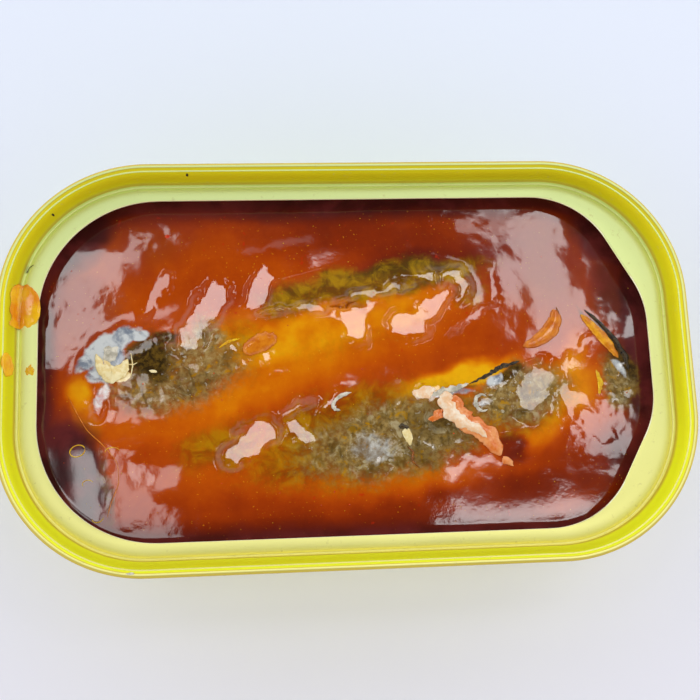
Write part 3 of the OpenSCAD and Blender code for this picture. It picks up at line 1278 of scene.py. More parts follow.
# The patches that mirror each window, as rows of x, y, long, short and turn.
FACETS = {
    Pane.LEFT: (
        (-29.8, 12.0, 3.4, 1.1, 58), (-38.0, -4.0, 2.8, 0.8, 70), (-12.0, -7.9, 5.4, 0.8, 22)),
    Pane.BACK: (
        (-13.8, 12.2, 3.4, 1.7, 72), (-21.2, 10.6, 3.2, 2.1, 62), (-24.0, 6.0, 3.4, 1.8, 60),
        (-15.6, -11.6, 4.2, 1.9, 38), (-7.8, -10.2, 2.2, 1.4, -45), (-3.4, -5.6, 2.2, 0.45, 40),
        (-18.0, 3.2, 1.0, 0.7, -20), (-13.2, 1.6, 0.8, 1.1, 0), (-16.4, 0.8, 0.6, 0.9, 0),
        (-10.6, -0.6, 0.9, 0.5, 10), (1.2, 7.0, 3.1, 1.7, 96), (12.2, 14.0, 3.4, 0.9, 8),
        (17.2, 12.5, 2.3, 2.5, 15), (13.6, 9.4, 3.8, 1.4, 42), (9.6, 6.4, 2.8, 1.9, -10),
        (13.0, -4.7, 2.2, 1.0, -5), (24.4, -3.0, 1.6, 0.6, 30)),
    Pane.RIGHT: (
        (-6.0, 9.4, 6.0, 0.6, 6), (4.0, 11.6, 5.5, 0.6, 14), (29.2, -4.4, 4.0, 2.2, 58),
        (34.6, -1.0, 1.9, 0.6, 80), (21.0, -6.4, 1.1, 0.6, 20), (23.4, 12.2, 3.0, 0.45, 86),
        (19.8, 7.2, 4.0, 0.3, 35), (37.6, 2.4, 1.4, 0.5, 60)),
    Pane.LOW: (
        (35.2, -6.8, 3.4, 1.5, -50), (38.4, -10.6, 3.0, 1.2, -48)),
}


@dataclass
class Contents:
    """Where the sauce, oil and fish skin lie, seen from above.

    "froth" ruffles the surface and "still" calms it. "clear" is dark oil, "thin" brightens the sauce and
    "thick" darkens it. "skin" holds the fish skin's colours.
    """

    level: float = 21.4
    swell_run: float = 9.0
    swell_reach: float = 1.35
    fishes: list[Sardine] = field(default_factory=list)
    facets: list[Facet] = field(default_factory=lambda: [
        Facet(*row, pane) for pane, rows in FACETS.items() for row in rows])
    froth: list[Blot] = field(default_factory=lambda: blots(
        (-40.0, 11.0, 7.0, 9.0, 0, 1.0, 0.5),
        (-35.0, 18.5, 6.0, 9.0, 70, 0.8, 0.5), (-31.0, -17.0, 8.0, 7.0, 20, 0.7, 0.5),
        (25.0, -23.5, 14.0, 2.4, 5, 0.4, 0.5), (27.0, 21.0, 10.0, 5.0, -20, 0.5, 0.5),
        (-26.0, 21.0, 6.0, 4.0, 0, 0.8, 0.6), (36.0, -9.0, 8.0, 4.0, -30, 0.8, 0.5),
        (13.0, 9.0, 8.0, 5.0, 20, 0.5, 0.5)))
    clear: list[Blot] = field(default_factory=lambda: blots(
        (-43.0, -16.0, 5.6, 10.0, 8, 1.0, 0.25),
        (-48.0, -2.0, 2.6, 26.0, 0, 1.0, 0.6), (47.0, 3.0, 4.6, 19.0, 0, 1.0, 0.5),
        (41.5, 19.5, 7.0, 4.0, -42, 0.95, 0.5), (44.0, -15.0, 5.0, 5.0, 60, 0.85, 0.5),
        (-42.0, 20.5, 8.0, 4.0, 42, 0.95, 0.5), (0.0, 27.0, 50.0, 2.6, 0, 0.9, 0.7),
        (10.0, -27.2, 50.0, 2.2, 0, 0.8, 0.7), (43.0, 11.0, 4.0, 8.0, 15, 0.8, 0.6),
        (31.0, 17.5, 12.0, 9.0, -30, 0.5, 0.7), (-41.0, 10.0, 5.0, 9.0, 0, 0.35, 0.7),
        (-33.0, 20.5, 9.0, 5.0, 15, 0.35, 0.7)))
    still: list[Blot] = field(default_factory=lambda: blots(
        (-43.0, -16.0, 5.6, 10.0, 8, 0.95, 0.25),
        (26.0, -23.0, 16.0, 4.4, 3, 0.85, 0.6), (-29.0, -19.0, 9.0, 8.0, 0, 0.5, 0.6),
        (30.0, 17.0, 12.0, 9.0, 0, 0.45, 0.6), (-38.0, 14.0, 10.0, 12.0, 0, 0.6, 0.6),
        (-1.0, 19.5, 8.0, 4.0, 0, 0.8, 0.6)))
    thin: list[Blot] = field(default_factory=lambda: blots(
        (-4.0, 4.0, 20.0, 5.6, 12, 0.20, 0.6),
        (-7.0, 2.0, 9.0, 3.6, 14, 0.10, 0.8), (-27.0, -7.5, 12.0, 3.0, 12, 0.16, 0.6),
        (17.0, -2.2, 9.0, 1.6, 14, 0.60, 0.6), (-14.0, -4.0, 9.0, 2.4, 12, 0.18, 0.7),
        (6.0, -18.2, 15.0, 2.4, 4, 0.20, 0.6), (35.0, -4.5, 5.5, 5.0, 20, 0.22, 0.6),
        (28.0, -12.3, 6.0, 2.0, 20, 0.28, 0.5), (-15.0, -14.0, 9.0, 5.0, 10, 0.12, 0.7),
        (-38.0, 18.0, 4.0, 2.6, 5, 0.10, 0.7), (36.0, 1.5, 3.2, 2.0, 60, 0.20, 0.6),
        (-41.0, -5.0, 2.0, 4.6, 20, 0.28, 0.4), (-41.4, -2.6, 1.8, 2.6, 10, 0.20, 0.5)))
    thick: list[Blot] = field(default_factory=lambda: blots(
        (4.0, 20.5, 18.0, 4.0, -4, 0.26, 0.7),
        (12.0, 16.6, 12.0, 1.6, 8, 0.22, 0.7), (25.0, -13.4, 2.0, 2.2, 0, 0.60, 0.5),
        (34.0, -17.0, 8.0, 4.0, 20, 0.20, 0.7), (-12.0, -22.0, 26.0, 3.0, 0, 0.12, 0.7),
        (22.0, -21.0, 14.0, 3.0, 5, 0.22, 0.7)))
    skin: dict[str, list[Blot]] = field(default_factory=lambda: {
        "olive": blots(
            (6.0, 13.6, 17.0, 2.8, 8, 1.1, 0.5), (-8.0, 11.2, 6.0, 3.0, 15, 1.0, 0.6),
            (-9.0, -14.6, 8.0, 4.0, 12, 0.7, 0.7), (0.0, 4.0, 14.0, 2.6, 12, 0.3, 0.8),
            (19.5, 12.0, 2.5, 3.2, 0, 0.7, 0.6), (3.0, -11.0, 19.0, 7.6, 8, 0.85, 0.5),
            (27.0, -6.0, 9.0, 5.6, 14, 0.75, 0.5), (-20.0, -12.0, 7.0, 4.0, 15, 0.7, 0.7),
            (-19.0, 3.0, 6.0, 5.0, 10, 0.6, 0.7), (43.0, -3.0, 3.0, 5.0, 10, 0.8, 0.5)),
        "grey": blots(
            (6.5, -11.6, 14.0, 5.6, 10, 0.95, 0.5), (26.5, -5.2, 7.5, 4.4, 14, 0.9, 0.5),
            (-27.0, -1.0, 10.5, 5.2, 14, 0.9, 0.45), (42.5, -3.5, 2.6, 4.6, 10, 0.9, 0.5),
            (-22.5, 4.5, 4.0, 3.4, 60, 0.8, 0.6)),
        "dark": blots(
            (-30.6, 1.6, 3.8, 4.4, 10, 0.9, 0.6), (-28.6, 4.8, 3.2, 1.5, 0, 0.8, 0.5),
            (-26.0, -2.5, 6.5, 3.0, 12, 0.40, 0.6), (13.0, -8.6, 6.0, 2.6, 20, 0.55, 0.6),
            (16.0, -11.4, 4.0, 2.6, 10, 0.45, 0.7), (25.0, -2.0, 3.5, 1.1, 22, 0.8, 0.5),
            (10.5, -14.0, 3.2, 2.2, -50, 0.5, 0.7), (-37.2, -17.6, 1.1, 6.5, 5, 0.55, 0.5),
            (43.8, -1.0, 1.2, 3.6, 30, 0.8, 0.5), (40.8, 4.4, 0.5, 4.8, 42, 0.9, 0.5),
            (17.0, -4.2, 3.4, 0.5, 20, 0.6, 0.5)),
        "silver": blots(
            (-37.4, 3.6, 5.4, 1.9, 33, 1.0, 0.4), (-33.2, 5.4, 2.2, 0.9, 12, 1.0, 0.5),
            (-36.0, 2.4, 2.2, 1.8, 0, 0.9, 0.4), (-38.6, -0.6, 1.8, 1.8, 0, 0.8, 0.4),
            (16.0, -4.8, 3.6, 0.7, 8, 0.7, 0.5), (22.4, -2.6, 1.2, 1.2, 0, 0.8, 0.5),
            (-38.2, -4.4, 0.8, 2.6, -15, 0.6, 0.6), (42.6, -1.4, 0.7, 2.0, 20, 0.8, 0.5),
            (3.4, -13.0, 4.6, 2.8, 0, 0.55, 0.8), (21.0, -6.6, 1.2, 0.9, 0, 0.6, 0.5)),
        "cream": blots(
            (-35.4, -0.6, 1.9, 1.0, 5, 0.9, 0.3), (-37.2, 1.0, 0.6, 1.5, 20, 0.9, 0.3))})

    def relief(self, x: np.ndarray, y: np.ndarray) -> np.ndarray:
        """The unevenness of the surface: soft waves, more on the fish and where the sauce is ruffled.

        Args:
            x: Places along the tin, in millimetres.
            y: Places across it.

        Returns:
            One height for each place.
        """
        scaly = np.clip(pile(self.skin["grey"], x, y), 0.0, 1.0)
        froth = np.clip(pile(self.froth, x, y), 0.0, 1.0)
        return (0.045 * ripple(x, y, 8.0, 1.7, 2) + (0.010 + 0.030 * scaly) * ripple(x, y, 2.2, 5.2, 3)
                + 0.010 * scaly * ripple(x, y, 0.9, 3.3, 2)
                + 0.024 * froth * ripple(x, y, 2.8, 9.9, 3) + 0.004 * froth * ripple(x, y, 0.9, 4.9, 2))

    def fish_height(self, x: np.ndarray, y: np.ndarray) -> np.ndarray:
        """The height of the highest sardine under each place, less what the sauce hides of it.

        Args:
            x: Places along the tin, in millimetres.
            y: Places across it.

        Returns:
            The heights in millimetres.
        """
        tops = []
        for fish in self.fishes:
            top = fish.hump(x, y)[0] - fish.cover
            tops.append(np.minimum(top, self.level + fish.proud * (top - self.level)))
        return np.max(tops, axis=0)

    def swell(self, x: np.ndarray, y: np.ndarray) -> np.ndarray:
        """How far the wet surface rises over the sardines.

        Args:
            x: Places along the tin, in millimetres.
            y: Places across it.

        Returns:
            One height for each place.
        """
        rises = []
        for fish in self.fishes:
            _, share, across = fish.hump(x, y)
            ends = smoothstep(0.0, self.swell_run, fish.along()[1] * np.minimum(share, 1.0 - share))
            out = np.minimum(1.0, np.abs(across) / self.swell_reach)
            rises.append(fish.rise * ends * (1.0 - out ** 2) ** 2)
        return np.max(rises, axis=0)

    def rough_surface(self, x: np.ndarray, y: np.ndarray) -> np.ndarray:
        """The wet surface without its leaning patches: nearly level, swelling over the fish.

        Args:
            x: Places along the tin, in millimetres.
            y: Places across it.

        Returns:
            The heights in millimetres.
        """
        waves = 0.10 * ripple(x, y, 14.0, 8.4, 2)
        calm = pile(self.still, x, y)
        flat = self.level + waves * (1.0 - np.maximum(calm, 0.85 * pile(self.clear, x, y)))
        return flat + self.swell(x, y) + self.relief(x, y) * (1.0 - calm)

    def surface(self, x: np.ndarray, y: np.ndarray) -> np.ndarray:
        """The wet surface with its leaning patches, climbing a little at the wall except at the back.

        Args:
            x: Places along the tin, in millimetres.
            y: Places across it.

        Returns:
            The heights in millimetres.
        """
        level = self.rough_surface(x, y)
        homes = self.rough_surface(np.array([f.x for f in self.facets]), np.array([f.y for f in self.facets]))
        wx = x + 0.80 * ripple(x, y, 2.6, 14.0, 5) + 0.40 * ripple(x, y, 1.0, 44.0, 2)
        wy = y + 0.80 * ripple(x, y, 2.6, 31.0, 5) + 0.40 * ripple(x, y, 1.0, 58.0, 2)
        fine = 0.007 * ripple(x, y, 1.6, 6.6, 3)
        for facet, home in zip(self.facets, homes):
            share = facet.mask(wx, wy)
            level = level * (1.0 - share) + (facet.plane(x, y, home) + fine) * share
        return level + 0.22 * smoothstep(6.0, 3.5, PLAN.inset(x, y)) * smoothstep(22.0, 15.0, y)

    def dress(self, piece: bpy.types.Object, place: np.ndarray) -> None:
        """Stores the colour fields on a piece.

        Args:
            piece: The mesh.
            place: Its vertices in millimetres.
        """
        x, y = place[:, 0], place[:, 1]
        wx = x + 1.1 * ripple(x, y, 5.0, 11.0, 3)
        wy = y + 1.1 * ripple(x, y, 5.0, 27.0, 3)
        inset = PLAN.inset(x, y)
        oil = pile(self.clear, wx, wy)
        rim = smoothstep(8.8, 5.2, inset + 0.6 * ripple(x, y, 9.0, 2.0, 2))
        over_fish = smoothstep(-1.2, 2.2, self.fish_height(x, y) - self.level)
        depth = 0.56 - (0.20 - 0.14 * ripple(x, y, 2.6, 6.1, 4)) * over_fish
        depth = depth - heap(self.thin, wx, wy) + heap(self.thick, wx, wy) + 0.35 * rim
        oil = np.maximum(oil, 0.75 * smoothstep(6.9, 5.2, inset))
        set_field(piece, "depth", np.clip(depth, 0.0, 1.0))
        set_field(piece, "oil", np.clip(oil, 0.0, 1.0))
        for name, areas in self.skin.items():
            set_field(piece, name, np.clip(pile(areas, wx, wy), 0.0, 1.0))


@dataclass
class Sauce:
    """The sauce and oil that fill the can round the sardines."""

    gap: float = 1.3
    floor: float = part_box("sauce")[0].z / MM
    spacing: float = 0.30
    draft: float = 4.0
    clearance: float = 0.02

    def build(self, finish: bpy.types.Material, larder: Contents) -> bpy.types.Object:
        """Builds the sauce as one closed body.

        Args:
            finish: Its material.
            larder: The contents that know the heights and colours.

        Returns:
            The finished piece.
        """
        half_x, half_y = PLAN.half_length - self.gap, PLAN.half_width - self.gap
        deselect_all()
        bpy.ops.mesh.primitive_grid_add(x_subdivisions=int(2 * half_x / self.spacing),
                                        y_subdivisions=int(2 * half_y / self.spacing), size=2.0)
        sauce = bpy.context.object
        set_coords(sauce, coords(sauce) * MM * np.array([half_x, half_y, 1.0]))
        bpy.ops.object.mode_set(mode="EDIT")
        bpy.ops.mesh.select_mode(type="VERT")
        bpy.ops.mesh.select_all(action="DESELECT")
        mesh = bmesh.from_edit_mesh(sauce.data)
        for vertex in mesh.verts:
            x, y = np.array([vertex.co.x]) / MM, np.array([vertex.co.y]) / MM
            vertex.select_set(bool(PLAN.inset(x, y)[0] < self.gap - NEAR))
        bmesh.update_edit_mesh(sauce.data)
        bpy.ops.mesh.delete(type="VERT")
        # The grid's stepped edge is moved out to the can's wall.
        select_ring(sauce, lambda p: True)
        mesh = bmesh.from_edit_mesh(sauce.data)
        for vertex in mesh.verts:
            if vertex.select:
                inset = PLAN.inset(np.array([vertex.co.x / MM]), np.array([vertex.co.y / MM]))[0]
                pull_in(vertex, self.gap - inset)
        bmesh.update_edit_mesh(sauce.data)
        bpy.ops.object.mode_set(mode="OBJECT")
        place = coords(sauce)
        place[:, 2] = larder.surface(place[:, 0], place[:, 1])
        set_coords(sauce, place)
        bpy.ops.object.mode_set(mode="EDIT")
        select_ring(sauce, lambda p: True)
        bpy.ops.mesh.extrude_region_move()
        mesh = bmesh.from_edit_mesh(sauce.data)
        for vertex in mesh.verts:
            if vertex.select:
                pull_in(vertex, self.draft)
                vertex.co.z = self.floor * MM + self.clearance * MM
        bpy.ops.mesh.edge_face_add()
        bpy.ops.mesh.select_all(action="SELECT")
        bpy.ops.mesh.normals_make_consistent(inside=False)
        bpy.ops.object.mode_set(mode="OBJECT")
        larder.dress(sauce, coords(sauce))
        return complete(sauce, "sauce_body", finish, 60.0)


@dataclass(frozen=True)
class Scrap:
    """A small rounded lump lying on a surface: a chip, fleck or drop with an uneven outline."""

    x: float
    y: float
    long: float
    short: float
    turn: float = 0.0
    thick: float = 0.3
    rise: float = 0.0
    ragged: float = 0.2
    seed: float = 1.0

    def build(self, name: str, finish: bpy.types.Material, ground: Ground) -> bpy.types.Object:
        """Builds the scrap.

        Args:
            name: Its name.
            finish: Its material.
            ground: Gives the height of the surface under each place.

        Returns:
            The finished piece.
        """
        deselect_all()
        bpy.ops.mesh.primitive_uv_sphere_add(segments=36, ring_count=12, radius=MM)
        scrap = bpy.context.object
        p = coords(scrap)
        angle = np.arctan2(p[:, 1], p[:, 0])
        swell = 1.0 + self.ragged * ripple(np.cos(angle) * 2.0, np.sin(angle) * 2.0, 1.5, self.seed, 3)
        u, v = turned(p[:, 0] * swell * self.long / 2, p[:, 1] * swell * self.short / 2, self.turn)
        x, y = self.x + u, self.y + v
        set_coords(scrap, np.stack([x, y, ground(x, y) + self.rise + p[:, 2] * self.thick / 2], axis=1))
        return complete(scrap, name, finish)


@dataclass(frozen=True)
class Strip:
    """A thin curved strip lying on a surface: torn flesh, a bone, a fin's edge or a rim of oil."""

    path: Sequence[Point]
    widths: Sequence[float]
    thick: float = 0.3
    rise: float = 0.0
    ragged: float = 0.15
    seed: float = 1.0
    stations: int = 241

    def build(self, name: str, finish: bpy.types.Material, ground: Ground) -> bpy.types.Object:
        """Builds the strip.

        Args:
            name: Its name.
            finish: Its material.
            ground: Gives the height of the surface under each place.

        Returns:
            The finished piece.
        """
        deselect_all()
        bpy.ops.mesh.primitive_uv_sphere_add(segments=16, ring_count=72, radius=MM)
        strip = bpy.context.object
        p = coords(strip)
        along = np.arccos(np.clip(p[:, 2], -1.0, 1.0)) / math.pi
        fine = np.linspace(0.0, 1.0, self.stations)
        kernel = np.hanning(self.stations // len(self.path) + 3)[1:-1]
        kernel /= kernel.sum()
        pad = len(kernel)

        def flow(values: Sequence[float]) -> np.ndarray:
            """Spreads values evenly along the strip, and rounds them between the path's points.

            Args:
                values: One value for each point of the path.

            Returns:
                One value for each station.
            """
            raw = np.interp(fine, np.linspace(0.0, 1.0, len(values)), values)
            ends = (raw[0] - (raw[pad:0:-1] - raw[0]), raw, raw[-1] + (raw[-1] - raw[-2:-pad - 2:-1]))
            return np.convolve(np.concatenate(ends), kernel, "same")[pad:-pad]

        cx, cy = flow([q[0] for q in self.path]), flow([q[1] for q in self.path])
        dx, dy = np.gradient(cx), np.gradient(cy)
        far = np.hypot(dx, dy)
        at = [np.interp(along, fine, v) for v in (cx, cy, -dy / far, dx / far, flow(self.widths))]
        radius = np.hypot(p[:, 0], p[:, 1]).clip(1e-9)
        cap = np.clip(radius * 4.0, 0.0, 1.0) ** 0.5
        swell = 1.0 + self.ragged * ripple(along * 30.0, np.sign(p[:, 0]) * 9.0, 3.0, self.seed, 3)
        off = p[:, 0] / radius * cap * swell * at[4] / 2
        x, y = at[0] + at[2] * off, at[1] + at[3] * off
        z = ground(x, y) + self.rise + p[:, 1] / radius * cap * self.thick / 2
        set_coords(strip, np.stack([x, y, z], axis=1))
        outwards(strip, merge=0.001 * MM)
        return complete(strip, name, finish)


def ring_path(x: float, y: float, long: float, short: float, turn: float, start: float = 0.0,
              end: float = 360.0) -> list[Point]:
    """Draws an oval or part of one, in plan.

    Args:
        x: Its middle, along the tin.
        y: Its middle, across the tin.
        long: Its length.
        short: Its width.
        turn: How far it is turned, in degrees.
        start: Angle of the first point, in degrees.
        end: Angle of the last point.

    Returns:
        The points along it.
    """
    steps = 30
    angles = [math.radians(start + (end - start) * k / steps) for k in range(steps + 1)]
    ways = [turned(long / 2 * math.cos(a), short / 2 * math.sin(a), turn) for a in angles]
    return [(x + dx, y + dy) for dx, dy in ways]


@dataclass
class Specks:
    """Tiny specks of spice and oil over the sauce, all copies of one grain."""

    count: int
    seed: int
    low: float
    high: float
    thick: float = 0.12
    reach: Point = (46.0, 25.0)
    wall_gap: float = 6.6
    rise: float = 0.01
    first_grain: tuple[float, float, float] = (-14.5, 17.6, 0.08)

    def build(self, name: str, finish: bpy.types.Material, ground: Ground) -> bpy.types.Object:
        """Builds the specks as one piece.

        Args:
            name: Its name.
            finish: Its material.
            ground: Gives the height of the surface under each place.

        Returns:
            The finished piece.
        """
        rng = random.Random(self.seed)
        deselect_all()
        bpy.ops.mesh.primitive_ico_sphere_add(subdivisions=1, radius=MM)
        first = bpy.context.object
        grain = coords(first)
        copies = [first]
        while len(copies) < self.count:
            x, y = (rng.uniform(-reach, reach) for reach in self.reach)
            size = rng.uniform(self.low, self.high) * rng.uniform(0.6, 1.0)
            if PLAN.inset(np.array([x]), np.array([y]))[0] < self.wall_gap:
                continue
            z = ground(np.array([x]), np.array([y]))[0] + self.rise
            copy = first.copy()
            copy.data = first.data.copy()
            bpy.context.scene.collection.objects.link(copy)
            scale = np.array([size, size * rng.uniform(0.5, 1.0), self.thick]) / 2
            set_coords(copy, grain * scale + np.array([x, y, z]))
            copies.append(copy)
        x, y, size = self.first_grain
        set_coords(first, grain * size + np.array([x, y, ground(np.array([x]), np.array([y]))[0]]))
        deselect_all()
        for piece in copies:
            piece.select_set(True)
        bpy.context.view_layer.objects.active = first
        bpy.ops.object.join()
        return complete(first, name, finish)


class Tint(Enum):
    """The finishes of the small pieces."""

    FLESH = Morsel("flesh", lin(238, 158, 96), lin(218, 108, 34), 1.6)
    PALE = Morsel("pale_flesh", lin(246, 226, 200), lin(240, 192, 146), 1.2)
    CREAM = Morsel("cream_skin", lin(246, 230, 180), lin(232, 206, 140))
    AMBER = Morsel("amber_gel", lin(222, 132, 26), lin(196, 98, 8), 1.4, 0.08)
    DROP = Morsel("rim_sauce", lin(240, 184, 22), lin(226, 134, 10), 3.0, 0.08)
    GOLD = Morsel("fin_gold", lin(238, 166, 26), lin(206, 116, 8), 1.2, 0.08)
    YELLOW = Morsel("yellow_oil", lin(236, 196, 20), lin(214, 150, 8))
    DARK = Morsel("dark_skin", lin(34, 24, 14), lin(70, 52, 20))
    BROWN = Morsel("brown_edge", lin(150, 84, 16), lin(92, 48, 8))
    RED = Morsel("red_spice", lin(198, 40, 10), lin(226, 84, 20))
    SILVER = Morsel("silver_skin", lin(224, 216, 198), lin(170, 162, 144), 1.0)


class Bed(Enum):
    """What a small piece lies on."""

    WET = "wet surface"
    METAL = "metal"


